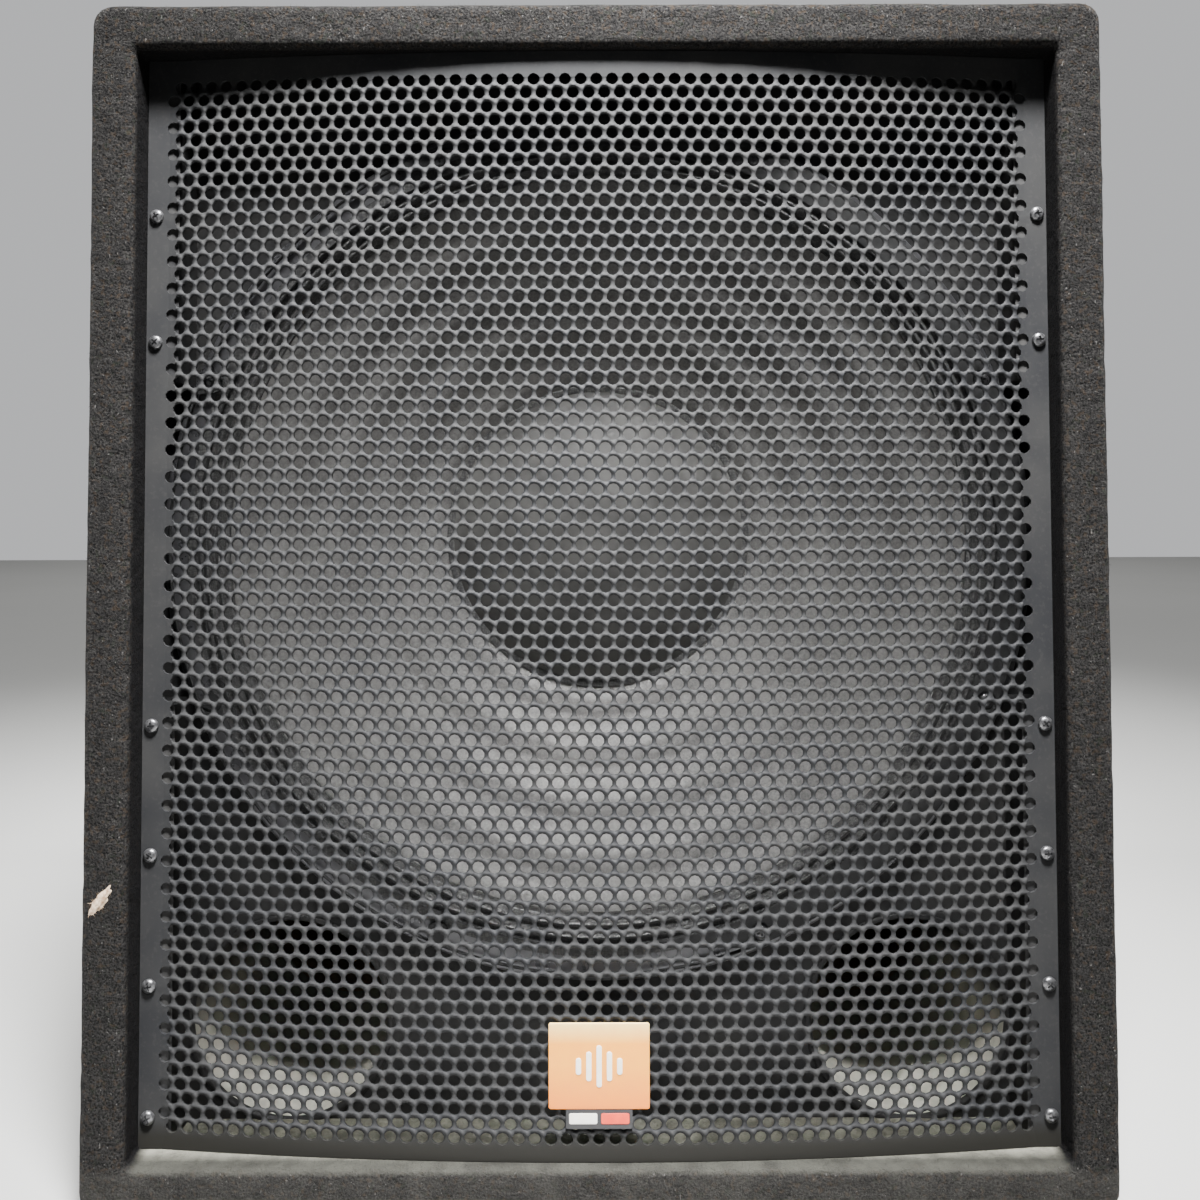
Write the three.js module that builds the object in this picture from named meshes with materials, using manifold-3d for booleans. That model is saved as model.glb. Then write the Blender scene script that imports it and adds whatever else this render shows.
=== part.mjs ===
// A carpet-covered PA subwoofer cabinet with one 18-inch driver, two ports and a bowed steel grille.
//
// Millimetres. +Z is up, +X is the viewer's right when facing the front, and the front faces -Y.
// The origin is at the floor, in the middle of the cabinet's footprint.

import * as THREE from "three";
import { mergeVertices } from "three/addons/utils/BufferGeometryUtils.js";
import Module from "manifold-3d";

const wasm = await Module();
wasm.setup();

// ---------------------------------------------------------------------------------------------
// Driving dimensions
// ---------------------------------------------------------------------------------------------

const WIDTH = 502;
const DEPTH = 603;
const BODY_HEIGHT = 590;
const FOOT_HEIGHT = 7;
const BOARD = 18;
const CARPET = 2;
const OUTER_CORNER_R = 10;
const GAP = 0.3;

const BAFFLE_SETBACK = 46;
const GRILLE_SETBACK = 18.5;
const GRILLE_SHEET = 1.5;
const GRILLE_BOW = 12.5;
const GRILLE_FLANGE = 12.2;
const GRILLE_SIDE_GAP = 0.3;

const SCREW_PITCH = 64.3;
const FIRST_SCREW_Z = 44.6;
const SCREW_STEPS = [0, 1, 2, 3, 6, 7];
const SCREW_FROM_WALL = 5.1;
const SCREW_HEAD_R = 3.5;
const SCREW_SHANK_R = 1.7;
const SCREW_SHANK_LENGTH = 18;
const SCREW_HOLE_R = 2.1;
const SCREW_SEAT = 0.1;

const WOOFER_Z = 328.5;
const WOOFER_R = 227;
const WOOFER_CUTOUT_R = 213;
const CONE_R = 193;
const DUST_CAP_R = 84;
const COIL_R = 38.1;
const MAGNET_R = 92;

const PORT_X = 160.7;
const PORT_Z = 80;
const PORT_R = 50.4;
const PORT_WALL = 2.1;
const PORT_LENGTH = 150;
const PORT_FIT = 0.1;

const BATTEN_WIDTH = 16;
const BATTEN_LOWER_TOP = 247;
const BATTEN_UPPER_BOTTOM = 410;

const HANDLE_Y = -10;
const HANDLE_Z = 372;
const HANDLE_FLANGE = { length: 190, height: 110, corner: 16 };
const HANDLE_POCKET = { length: 163, height: 83, corner: 12, depth: 52, wall: 3 };
const GRIP = { height: 24, thickness: 16, corner: 7 };

const POLE_SOCKET_Y = 0;
const POLE_R = 18.2;
const POLE_DEPTH = 100;
const POLE_WALL = 2;
const POLE_FLANGE_R = 55;

const DISH_Z = 230;
const DISH_FLANGE = { width: 150, height: 110, corner: 10 };
const DISH_POCKET = { width: 124, height: 84, corner: 8, depth: 22, wall: 2.5, floor: 3 };
const CONNECTOR_X = 30;
const CONNECTOR_DZ = 20;

const FOOT_X = 205;
const FOOT_Y = 255;
const FOOT_R = 19;

const BRACE_Y = 100;

// Round pieces: sides of the polygon that stands for a circle.
const BIG_ROUND = 28;
const SMALL_ROUND = 16;
const SCREW_ROUND = 8;

// Planes and faces that follow from the driving dimensions.
const FRONT = -DEPTH / 2;
const REAR = DEPTH / 2;
const BODY_BOTTOM = FOOT_HEIGHT;
const BODY_TOP = FOOT_HEIGHT + BODY_HEIGHT;
const WOOD = {
  x: WIDTH / 2 - CARPET,
  front: FRONT + CARPET,
  rear: REAR - CARPET,
  bottom: BODY_BOTTOM + CARPET,
  top: BODY_TOP - CARPET,
};
const INSIDE = {
  x: WOOD.x - BOARD,
  bottom: WOOD.bottom + BOARD,
  top: WOOD.top - BOARD,
};
const OPENING = {
  x: INSIDE.x - CARPET,
  bottom: INSIDE.bottom + CARPET,
  top: INSIDE.top - CARPET,
};
const BODY_MIDDLE_Z = (BODY_BOTTOM + BODY_TOP) / 2;
const BAFFLE_FRONT = FRONT + BAFFLE_SETBACK;
const BAFFLE_REAR = BAFFLE_FRONT + BOARD;
const REAR_PANEL_FRONT = WOOD.rear - BOARD;
const GRILLE_FRONT = FRONT + GRILLE_SETBACK;
const GRILLE_REAR = GRILLE_FRONT + GRILLE_SHEET;
const SCREW_X = OPENING.x - SCREW_FROM_WALL;

// ---------------------------------------------------------------------------------------------
// Materials
// ---------------------------------------------------------------------------------------------

function material(color, roughness, metalness) {
  return new THREE.MeshStandardMaterial({ color, roughness, metalness });
}

const plywood = () => material(0xb58c5a, 0.75, 0);
const blackPaint = () => material(0x26272a, 0.7, 0);
const carpetCloth = () => material(0x47474a, 0.97, 0);
const powderCoat = () => material(0x3a3b3e, 0.5, 0.4);
const blackPlastic = () => material(0x222325, 0.5, 0);
const rubber = () => material(0x18181a, 0.85, 0);
const paperPulp = () => material(0x2c2c2e, 0.85, 0);
const treatedCloth = () => material(0x1f1f21, 0.9, 0);
const blackZinc = () => material(0x2a2a2c, 0.35, 0.9);
const paintedSteel = () => material(0x303134, 0.55, 0.5);
const platedSteel = () => material(0xa6a8aa, 0.35, 0.9);
const ferrite = () => material(0x3b3c3f, 0.7, 0.1);
const copper = () => material(0xb87333, 0.35, 0.9);
const kapton = () => material(0x8a5a24, 0.5, 0);
const wadding = () => material(0xd8d5cc, 1, 0);
const badgeEnamel = () => material(0xe8a070, 0.4, 0);

// ---------------------------------------------------------------------------------------------
// Shapes and solids
// ---------------------------------------------------------------------------------------------

function roundedRect(width, height, radius, cx = 0, cy = 0) {
  const shape = new THREE.Shape();
  const left = cx - width / 2;
  const right = cx + width / 2;
  const low = cy - height / 2;
  const high = cy + height / 2;
  shape.moveTo(left + radius, low);
  shape.lineTo(right - radius, low);
  shape.absarc(right - radius, low + radius, radius, -Math.PI / 2, 0, false);
  shape.lineTo(right, high - radius);
  shape.absarc(right - radius, high - radius, radius, 0, Math.PI / 2, false);
  shape.lineTo(left + radius, high);
  shape.absarc(left + radius, high - radius, radius, Math.PI / 2, Math.PI, false);
  shape.lineTo(left, low + radius);
  shape.absarc(left + radius, low + radius, radius, Math.PI, Math.PI * 1.5, false);
  return shape;
}

function rectangle(left, right, low, high) {
  const shape = new THREE.Shape();
  shape.moveTo(left, low);
  shape.lineTo(right, low);
  shape.lineTo(right, high);
  shape.lineTo(left, high);
  shape.closePath();
  return shape;
}

function polygonHole(cx, cy, radius, sides) {
  const hole = new THREE.Path();
  const point = (i) => {
    const angle = (2 * Math.PI * i) / sides;
    return [cx + radius * Math.cos(angle), cy + radius * Math.sin(angle)];
  };
  hole.moveTo(...point(0));
  for (let i = 1; i < sides; i += 1) hole.lineTo(...point(i));
  hole.closePath();
  return hole;
}

function extrude(shape, length, curveSegments) {
  return new THREE.ExtrudeGeometry(shape, {
    depth: length,
    bevelEnabled: false,
    curveSegments,
  });
}

// The shape is drawn in X and Y and runs from z0 to z1.
function alongZ(shape, z0, z1, curveSegments = 3) {
  return extrude(shape, z1 - z0, curveSegments).translate(0, 0, z0);
}

// The shape is drawn in X and Z and runs from y0 to y1.
function alongY(shape, y0, y1, curveSegments = 3) {
  const turn = new THREE.Matrix4().makeBasis(
    new THREE.Vector3(1, 0, 0),
    new THREE.Vector3(0, 0, 1),
    new THREE.Vector3(0, -1, 0),
  );
  return extrude(shape, y1 - y0, curveSegments).applyMatrix4(turn).translate(0, y1, 0);
}

// The shape is drawn in Y and Z and runs from x0 to x1.
function alongX(shape, x0, x1, curveSegments = 3) {
  const turn = new THREE.Matrix4().makeBasis(
    new THREE.Vector3(0, 1, 0),
    new THREE.Vector3(0, 0, 1),
    new THREE.Vector3(1, 0, 0),
  );
  return extrude(shape, x1 - x0, curveSegments).applyMatrix4(turn).translate(x0, 0, 0);
}

// A solid of revolution about the Y axis; profile points are [radius, y], counter-clockwise.
function turned(profile, sides, closed = true) {
  const points = profile.map(([r, y]) => new THREE.Vector2(r, y));
  if (closed) points.push(points[0].clone());
  return new THREE.LatheGeometry(points, sides);
}

// The same about the Z axis; profile points are [radius, z].
function turnedAboutZ(profile, sides, closed = true) {
  return turned(profile, sides, closed).rotateX(Math.PI / 2);
}

function box(x0, x1, y0, y1, z0, z1) {
  const block = new THREE.BoxGeometry(x1 - x0, y1 - y0, z1 - z0);
  return block.translate((x0 + x1) / 2, (y0 + y1) / 2, (z0 + z1) / 2);
}

function toSolid(geometry) {
  const bare = geometry.clone();
  bare.deleteAttribute("normal");
  bare.deleteAttribute("uv");
  const merged = mergeVertices(bare, 1e-4);
  return new wasm.Manifold(
    new wasm.Mesh({
      numProp: 3,
      vertProperties: merged.attributes.position.array,
      triVerts: Uint32Array.from(merged.index.array),
    }),
  );
}

function toGeometry(solid) {
  const mesh = solid.getMesh();
  const geometry = new THREE.BufferGeometry();
  geometry.setAttribute("position", new THREE.BufferAttribute(mesh.vertProperties, 3));
  geometry.setIndex(new THREE.BufferAttribute(mesh.triVerts, 1));
  geometry.computeVertexNormals();
  return geometry;
}

function joined(...geometries) {
  return toGeometry(geometries.map(toSolid).reduce((whole, piece) => whole.add(piece)));
}

function cut(geometry, ...tools) {
  const solids = tools.map(toSolid);
  return toGeometry(solids.reduce((rest, tool) => rest.subtract(tool), toSolid(geometry)));
}

const cabinet = new THREE.Group();

function add(name, geometry, look, parent = cabinet) {
  const mesh = new THREE.Mesh(geometry, look);
  mesh.name = name;
  parent.add(mesh);
  return mesh;
}

const SIDES = [
  { name: "left", sign: -1 },
  { name: "right", sign: 1 },
];

// ---------------------------------------------------------------------------------------------
// Enclosure: boards, baffle, brace and battens
// ---------------------------------------------------------------------------------------------

// A top or bottom board: its two long outer edges are rounded for the carpet to turn over.
function edgeBoard(outerZ, innerZ) {
  const r = OUTER_CORNER_R - CARPET;
  const out = Math.sign(outerZ - innerZ);
  const shape = new THREE.Shape();
  shape.moveTo(-WOOD.x, innerZ);
  shape.lineTo(WOOD.x, innerZ);
  shape.lineTo(WOOD.x, outerZ - out * r);
  shape.absarc(WOOD.x - r, outerZ - out * r, r, 0, (out * Math.PI) / 2, out < 0);
  shape.lineTo(-WOOD.x + r, outerZ);
  shape.absarc(-WOOD.x + r, outerZ - out * r, r, (out * Math.PI) / 2, out * Math.PI, out < 0);
  shape.closePath();
  return alongY(shape, WOOD.front, WOOD.rear);
}

function topPanel() {
  const tubeR = POLE_R + POLE_WALL + GAP;
  const bore = turnedAboutZ(
    [[0, -1], [tubeR, -1], [tubeR, BOARD + 1], [0, BOARD + 1]],
    BIG_ROUND,
    false,
  ).translate(0, POLE_SOCKET_Y, INSIDE.top);
  return cut(edgeBoard(WOOD.top, INSIDE.top), bore);
}

// The cutouts for the moulded cups have square corners.
function cutout(cx, cy, width, height, room) {
  const halfWidth = width / 2 + room;
  const halfHeight = height / 2 + room;
  return rectangle(cx - halfWidth, cx + halfWidth, cy - halfHeight, cy + halfHeight);
}

function sidePanel(sign) {
  const { length, height, wall } = HANDLE_POCKET;
  const face = rectangle(WOOD.front, WOOD.rear, INSIDE.bottom, INSIDE.top);
  face.holes.push(cutout(HANDLE_Y, HANDLE_Z, length, height, wall + GAP));
  return sign < 0 ? alongX(face, -WOOD.x, -INSIDE.x) : alongX(face, INSIDE.x, WOOD.x);
}

function rearPanel() {
  const { width, height, wall } = DISH_POCKET;
  const face = rectangle(-INSIDE.x, INSIDE.x, INSIDE.bottom, INSIDE.top);
  face.holes.push(cutout(0, DISH_Z, width, height, wall + GAP));
  return alongY(face, REAR_PANEL_FRONT, WOOD.rear);
}

function dishOutline(grow) {
  return roundedRect(
    DISH_POCKET.width + 2 * grow,
    DISH_POCKET.height + 2 * grow,
    DISH_POCKET.corner + grow,
    0,
    DISH_Z,
  );
}

function baffle() {
  const face = rectangle(-INSIDE.x, INSIDE.x, INSIDE.bottom, INSIDE.top);
  face.holes.push(polygonHole(0, WOOFER_Z, WOOFER_CUTOUT_R, BIG_ROUND));
  for (const { sign } of SIDES) {
    face.holes.push(polygonHole(sign * PORT_X, PORT_Z, PORT_R + PORT_WALL + PORT_FIT, BIG_ROUND));
  }
  return alongY(face, BAFFLE_FRONT, BAFFLE_REAR);
}

function windowBrace() {
  const rail = 26;
  const halfCross = 15;
  const columns = [
    [-INSIDE.x + rail, -halfCross],
    [halfCross, INSIDE.x - rail],
  ];
  const rows = [
    [INSIDE.bottom + rail, BODY_MIDDLE_Z - halfCross],
    [BODY_MIDDLE_Z + halfCross, INSIDE.top - rail],
  ];
  const board = box(-INSIDE.x, INSIDE.x, BRACE_Y, BRACE_Y + BOARD, INSIDE.bottom, INSIDE.top);
  const windows = columns.flatMap(([left, right]) =>
    rows.map(([low, high]) => box(left, right, BRACE_Y - 1, BRACE_Y + BOARD + 1, low, high)),
  );
  return cut(board, ...windows);
}

function screwHeights() {
  return SCREW_STEPS.map((step) => FIRST_SCREW_Z + step * SCREW_PITCH);
}

// A grille batten stops short of the driver's frame, which reaches almost to the side walls.
function batten(sign, low, high) {
  const wall = sign * (OPENING.x - GAP);
  const inner = sign * (OPENING.x - BATTEN_WIDTH);
  const face = rectangle(Math.min(wall, inner), Math.max(wall, inner), low, high);
  for (const z of screwHeights()) {
    if (z > low && z < high) {
      face.holes.push(polygonHole(sign * SCREW_X, z, SCREW_HOLE_R, SCREW_ROUND));
    }
  }
  return alongY(face, GRILLE_REAR, BAFFLE_FRONT);
}

function addEnclosure() {
  add("top_panel", topPanel(), plywood());
  add("bottom_panel", edgeBoard(WOOD.bottom, INSIDE.bottom), plywood());
  for (const { name, sign } of SIDES) add(`${name}_panel`, sidePanel(sign), plywood());
  add("rear_panel", rearPanel(), plywood());
  add("baffle", baffle(), blackPaint());
  add("window_brace", windowBrace(), plywood());
  for (const { name, sign } of SIDES) {
    add(`${name}_lower_batten`, batten(sign, OPENING.bottom + GAP, BATTEN_LOWER_TOP), blackPaint());
    add(`${name}_upper_batten`, batten(sign, BATTEN_UPPER_BOTTOM, OPENING.top - GAP), blackPaint());
  }
}

// ---------------------------------------------------------------------------------------------
// Carpet and damping
// ---------------------------------------------------------------------------------------------

function openingOutline(grow) {
  return rectangle(
    -OPENING.x - grow,
    OPENING.x + grow,
    OPENING.bottom - grow,
    OPENING.top + grow,
  );
}

function bodyOutline(shrink) {
  return roundedRect(
    WIDTH - 2 * shrink,
    BODY_HEIGHT - 2 * shrink,
    OUTER_CORNER_R - shrink,
    0,
    BODY_MIDDLE_Z,
  );
}

// The wrap covers the four sides, turns over the front edges and runs back to the baffle.
function carpetWrap() {
  const sleeve = bodyOutline(0);
  sleeve.holes.push(bodyOutline(CARPET));
  const lip = bodyOutline(0);
  lip.holes.push(openingOutline(0));
  const lining = openingOutline(CARPET);
  lining.holes.push(openingOutline(0));
  const whole = joined(
    alongY(sleeve, WOOD.front, WOOD.rear),
    alongY(lip, FRONT, WOOD.front),
    alongY(lining, WOOD.front, BAFFLE_FRONT),
  );
  const handles = roundedRect(
    HANDLE_FLANGE.length + 2 * GAP,
    HANDLE_FLANGE.height + 2 * GAP,
    HANDLE_FLANGE.corner,
    HANDLE_Y,
    HANDLE_Z,
  );
  const flangeR = POLE_FLANGE_R + GAP;
  const poleHole = turnedAboutZ(
    [[0, WOOD.top - 1], [flangeR, WOOD.top - 1], [flangeR, BODY_TOP + 1], [0, BODY_TOP + 1]],
    BIG_ROUND,
    false,
  ).translate(0, POLE_SOCKET_Y, 0);
  return cut(
    whole,
    alongX(handles, -WIDTH / 2 - 1, -WOOD.x + 1),
    alongX(handles, WOOD.x - 1, WIDTH / 2 + 1),
    poleHole,
  );
}

function rearCarpet() {
  const face = bodyOutline(0);
  face.holes.push(
    roundedRect(
      DISH_FLANGE.width + 2 * GAP,
      DISH_FLANGE.height + 2 * GAP,
      DISH_FLANGE.corner,
      0,
      DISH_Z,
    ),
  );
  return alongY(face, WOOD.rear, REAR);
}

// A bridge of wadding: down both side walls and across the top, behind the brace.
function dampingPad() {
  const thickness = 22;
  const inner = INSIDE.x - thickness;
  const bridge = new THREE.Shape();
  bridge.moveTo(-INSIDE.x + GAP, INSIDE.bottom + GAP);
  bridge.lineTo(-inner, INSIDE.bottom + GAP);
  bridge.lineTo(-inner, INSIDE.top - thickness);
  bridge.lineTo(inner, INSIDE.top - thickness);
  bridge.lineTo(inner, INSIDE.bottom + GAP);
  bridge.lineTo(INSIDE.x - GAP, INSIDE.bottom + GAP);
  bridge.lineTo(INSIDE.x - GAP, INSIDE.top - GAP);
  bridge.lineTo(-INSIDE.x + GAP, INSIDE.top - GAP);
  bridge.closePath();
  return alongY(bridge, BRACE_Y + BOARD + GAP, REAR_PANEL_FRONT - GAP);
}

function addSoftCovering() {
  add("carpet_wrap", carpetWrap(), carpetCloth());
  add("rear_carpet", rearCarpet(), carpetCloth());
  add("damping_pad", dampingPad(), wadding());
}

// ---------------------------------------------------------------------------------------------
// Grille, badge and grille screws
// ---------------------------------------------------------------------------------------------

// Steel sheet: two flat side flanges, and between them a shallow arc that bows outwards.
function grille() {
  const edge = OPENING.x - GRILLE_SIDE_GAP;
  const bend = OPENING.x - GRILLE_FLANGE;
  const radius = (bend * bend + GRILLE_BOW * GRILLE_BOW) / (2 * GRILLE_BOW);
  const centre = GRILLE_FRONT - GRILLE_BOW + radius;
  const halfAngle = Math.asin(bend / radius);
  const middle = -Math.PI / 2;
  const section = new THREE.Shape();
  section.moveTo(-edge, GRILLE_FRONT);
  section.lineTo(-bend, GRILLE_FRONT);
  section.absarc(0, centre, radius, middle - halfAngle, middle + halfAngle, false);
  section.lineTo(edge, GRILLE_FRONT);
  section.lineTo(edge, GRILLE_REAR);
  section.lineTo(bend, GRILLE_REAR);
  section.absarc(0, centre + GRILLE_SHEET, radius, middle + halfAngle, middle - halfAngle, true);
  section.lineTo(-edge, GRILLE_REAR);
  section.closePath();
  const arcSegments = 16;
  const sheet = alongZ(section, OPENING.bottom + GAP, OPENING.top - GAP, arcSegments);
  const screwHoles = SIDES.flatMap(({ sign }) =>
    screwHeights().map((z) => {
      const hole = polygonHole(sign * SCREW_X, z, SCREW_HOLE_R, SCREW_ROUND);
      return alongY(new THREE.Shape(hole.getPoints()), GRILLE_FRONT - 1, GRILLE_REAR + 1);
    }),
  );
  return cut(sheet, ...screwHoles);
}

function badge() {
  const width = 49;
  const height = 50;
  const bottom = 46.3;
  const thickness = 1.5;
  const back = GRILLE_FRONT - GRILLE_BOW - GAP;
  return alongY(roundedRect(width, height, 3, 0, bottom + height / 2), back - thickness, back);
}

// A pan-head screw that points into the cabinet: domed head, then a plain shank.
function grilleScrew() {
  const headHeight = 2.3;
  const crownR = 2.1;
  const crownHeight = 2;
  const rimHeight = 0.9;
  const profile = [
    [0, -headHeight],
    [crownR, -crownHeight],
    [SCREW_HEAD_R, -rimHeight],
    [SCREW_HEAD_R, 0],
    [SCREW_SHANK_R, 0],
    [SCREW_SHANK_R, SCREW_SHANK_LENGTH],
    [0, SCREW_SHANK_LENGTH],
  ];
  return turned(profile, SCREW_ROUND, false);
}

function addGrille() {
  add("grille", grille(), powderCoat());
  add("badge", badge(), badgeEnamel());
  for (const { name, sign } of SIDES) {
    screwHeights().forEach((z, index) => {
      const screw = add(`grille_screw_${name}_${index + 1}`, grilleScrew(), blackZinc());
      screw.position.set(sign * SCREW_X, GRILLE_FRONT - SCREW_SEAT, z);
    });
  }
}

// ---------------------------------------------------------------------------------------------
// The 18-inch driver: everything is turned about its own axis, which lies along Y
// ---------------------------------------------------------------------------------------------

const FRAME_FRONT = BAFFLE_FRONT - 6.5;
const CONE_EDGE_Y = FRAME_FRONT + 4;
const CONE_DEPTH = 85;
const CONE_NECK_R = COIL_R + 0.7;
const CONE_SLOPE = CONE_DEPTH / (CONE_R - CONE_NECK_R);
const MOTOR_FRONT = BAFFLE_FRONT + 113;
const TOP_PLATE = 10;
const MAGNET_THICKNESS = 22;
const YOKE_PLATE = 12;
const MOTOR_HOLE_R = COIL_R + 2.9;
const POLE_PIECE_R = COIL_R - 1.6;
const FORMER_OUTER_R = COIL_R + 0.2;

function coneFrontY(r) {
  return CONE_EDGE_Y + (CONE_R - r) * CONE_SLOPE;
}

// Pressed frame: mounting flange, eight legs, spider ledge and the seat of the motor.
const BASKET = {
  wall: 3,
  flangeInnerR: 206,
  shoulderR: 203,
  shoulderDepth: 11.5,
  ledgeR: 108,
  ledgeStepR: 92,
  ledgeDepth: 23.5,
  seatR: 88,
  seatHoleR: 46,
  legs: 8,
  legHalfAngle: 7.5,
  windowInnerR: 114,
  windowOuterR: 190,
};

function wooferBasket() {
  const { wall, ledgeR, ledgeStepR, seatR, seatHoleR, shoulderR } = BASKET;
  const shoulderY = BAFFLE_FRONT + BASKET.shoulderDepth;
  const ledgeY = MOTOR_FRONT - BASKET.ledgeDepth;
  const seatY = MOTOR_FRONT - GAP - wall;
  const profile = [
    [WOOFER_R, FRAME_FRONT],
    [WOOFER_R, BAFFLE_FRONT],
    [WOOFER_CUTOUT_R - wall, BAFFLE_FRONT],
    [shoulderR + wall, shoulderY + wall],
    [ledgeR + wall, ledgeY + wall],
    [ledgeStepR + wall, ledgeY + wall],
    [seatR + wall, seatY + wall],
    [seatHoleR, seatY + wall],
    [seatHoleR, seatY],
    [seatR, seatY],
    [ledgeStepR, ledgeY],
    [ledgeR, ledgeY],
    [shoulderR, shoulderY],
    [BASKET.flangeInnerR, FRAME_FRONT],
  ];
  return cut(turned(profile, BIG_ROUND), ...basketWindows());
}

// The openings between the legs, as blocks to cut out of the frame.
function basketWindows() {
  const { legs, windowInnerR, windowOuterR } = BASKET;
  const halfLeg = THREE.MathUtils.degToRad(BASKET.legHalfAngle);
  const step = (2 * Math.PI) / legs;
  const windows = [];
  for (let i = 0; i < legs; i += 1) {
    const start = i * step + halfLeg;
    const end = (i + 1) * step - halfLeg;
    const sector = new THREE.Shape();
    sector.moveTo(windowInnerR * Math.cos(start), windowInnerR * Math.sin(start));
    sector.absarc(0, 0, windowOuterR, start, end, false);
    sector.absarc(0, 0, windowInnerR, end, start, true);
    sector.closePath();
    windows.push(alongY(sector, BAFFLE_FRONT + BASKET.shoulderDepth, MOTOR_FRONT - BASKET.wall));
  }
  return windows;
}

function wooferGasket() {
  const innerR = 207;
  const outerR = 223;
  const thickness = 3;
  const back = FRAME_FRONT - SURROUND.sheet - 2 * GAP;
  return turned(ring(innerR, outerR, back - thickness, back), BIG_ROUND);
}

// Two rolls of doped cloth between the cone's edge and the frame.
const SURROUND = { sheet: 1, rollHeight: 4, outerR: 214, flapR: 206, innerR: 195.2 };

function surround() {
  const { sheet, rollHeight, outerR, flapR, innerR } = SURROUND;
  const valleyR = (flapR + innerR) / 2;
  const outerCrestR = (flapR + valleyR) / 2;
  const innerCrestR = (valleyR + innerR) / 2;
  const flapBack = FRAME_FRONT - GAP;
  const crestBack = flapBack - rollHeight;
  const back = [
    [outerR, flapBack],
    [flapR, flapBack],
    [outerCrestR, crestBack],
    [valleyR, flapBack],
    [innerCrestR, crestBack],
    [innerR, CONE_EDGE_Y],
    [CONE_R + GAP, CONE_EDGE_Y],
  ];
  const front = back.map(([r, y]) => [r, y - sheet]).reverse();
  return turned([...back, ...front], BIG_ROUND);
}

function cone() {
  const thickness = 1.8;
  const knee = 120;
  const flare = 3;
  const profile = [
    [CONE_R, CONE_EDGE_Y],
    [CONE_R, CONE_EDGE_Y + thickness],
    [knee, coneFrontY(knee) + flare + thickness],
    [CONE_NECK_R, coneFrontY(CONE_NECK_R) + thickness],
    [CONE_NECK_R, coneFrontY(CONE_NECK_R)],
    [knee, coneFrontY(knee) + flare],
  ];
  return turned(profile, BIG_ROUND);
}

function dustCap() {
  const rise = 30;
  const sheet = 1.2;
  const steps = 5;
  const base = coneFrontY(DUST_CAP_R) - 2 * GAP;
  const radius = (DUST_CAP_R * DUST_CAP_R + rise * rise) / (2 * rise);
  const domeY = (r) => base - rise + radius - Math.sqrt(radius * radius - r * r);
  const outer = [];
  for (let i = 0; i <= steps; i += 1) {
    const r = (DUST_CAP_R * i) / steps;
    outer.push([r, domeY(r)]);
  }
  const inner = outer.map(([r, y]) => [r * (1 - sheet / DUST_CAP_R), y + sheet]).reverse();
  return turned([...outer, ...inner], BIG_ROUND, false);
}

function coilFormer() {
  const sheet = 0.7;
  const tail = 12.5;
  const front = coneFrontY(CONE_NECK_R) - 1;
  const back = MOTOR_FRONT + TOP_PLATE + tail;
  return turned(ring(FORMER_OUTER_R - sheet, FORMER_OUTER_R, front, back), BIG_ROUND);
}

function coilWinding() {
  const thickness = 1.2;
  const halfLength = 10;
  const middle = MOTOR_FRONT + TOP_PLATE / 2;
  const innerR = FORMER_OUTER_R + 0.1;
  return turned(ring(innerR, innerR + thickness, middle - halfLength, middle + halfLength), BIG_ROUND);
}

function ring(innerR, outerR, y0, y1) {
  return [[innerR, y0], [outerR, y0], [outerR, y1], [innerR, y1]];
}

// The corrugated centring disc that holds the coil in the gap.
function spider() {
  const sheet = 1;
  const outerR = 104;
  const rollCount = 4;
  const rollHeight = 1.75;
  const firstRollR = 50;
  const rollPitch = 12;
  const y = MOTOR_FRONT - BASKET.ledgeDepth - GAP;
  const back = [[CONE_NECK_R, y - rollHeight]];
  for (let i = 0; i < rollCount; i += 1) {
    const side = i % 2 === 0 ? 1 : -1;
    back.push([firstRollR + i * rollPitch, y + side * rollHeight]);
  }
  back.push([outerR, y]);
  const front = back.map(([r, backY]) => [r, backY - sheet]);
  return turned([...front, ...back.reverse()], BIG_ROUND);
}

function topPlate() {
  const outerR = 82;
  return turned(ring(MOTOR_HOLE_R, outerR, MOTOR_FRONT, MOTOR_FRONT + TOP_PLATE), BIG_ROUND);
}

function magnetRing() {
  const innerR = 50;
  const front = MOTOR_FRONT + TOP_PLATE + GAP;
  return turned(ring(innerR, MAGNET_R, front, front + MAGNET_THICKNESS), BIG_ROUND);
}

// Back plate and pole piece in one, with a vent through the middle.
function yoke() {
  const ventR = 12;
  const plateR = 80;
  const plateFront = MOTOR_FRONT + TOP_PLATE + MAGNET_THICKNESS + 2 * GAP;
  const plateBack = plateFront + YOKE_PLATE;
  const profile = [
    [ventR, MOTOR_FRONT],
    [POLE_PIECE_R, MOTOR_FRONT],
    [POLE_PIECE_R, plateFront],
    [plateR, plateFront],
    [plateR, plateBack],
    [ventR, plateBack],
  ];
  return turned(profile, BIG_ROUND);
}

// Moulded block for the two push terminals, on the lowest leg of the frame.
function terminalBlock() {
  const halfWidth = 24;
  const front = MOTOR_FRONT - 23;
  const back = front + 14;
  const top = -115;
  const bottom = top - 13;
  return box(-halfWidth, halfWidth, front, back, bottom, top);
}

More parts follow.
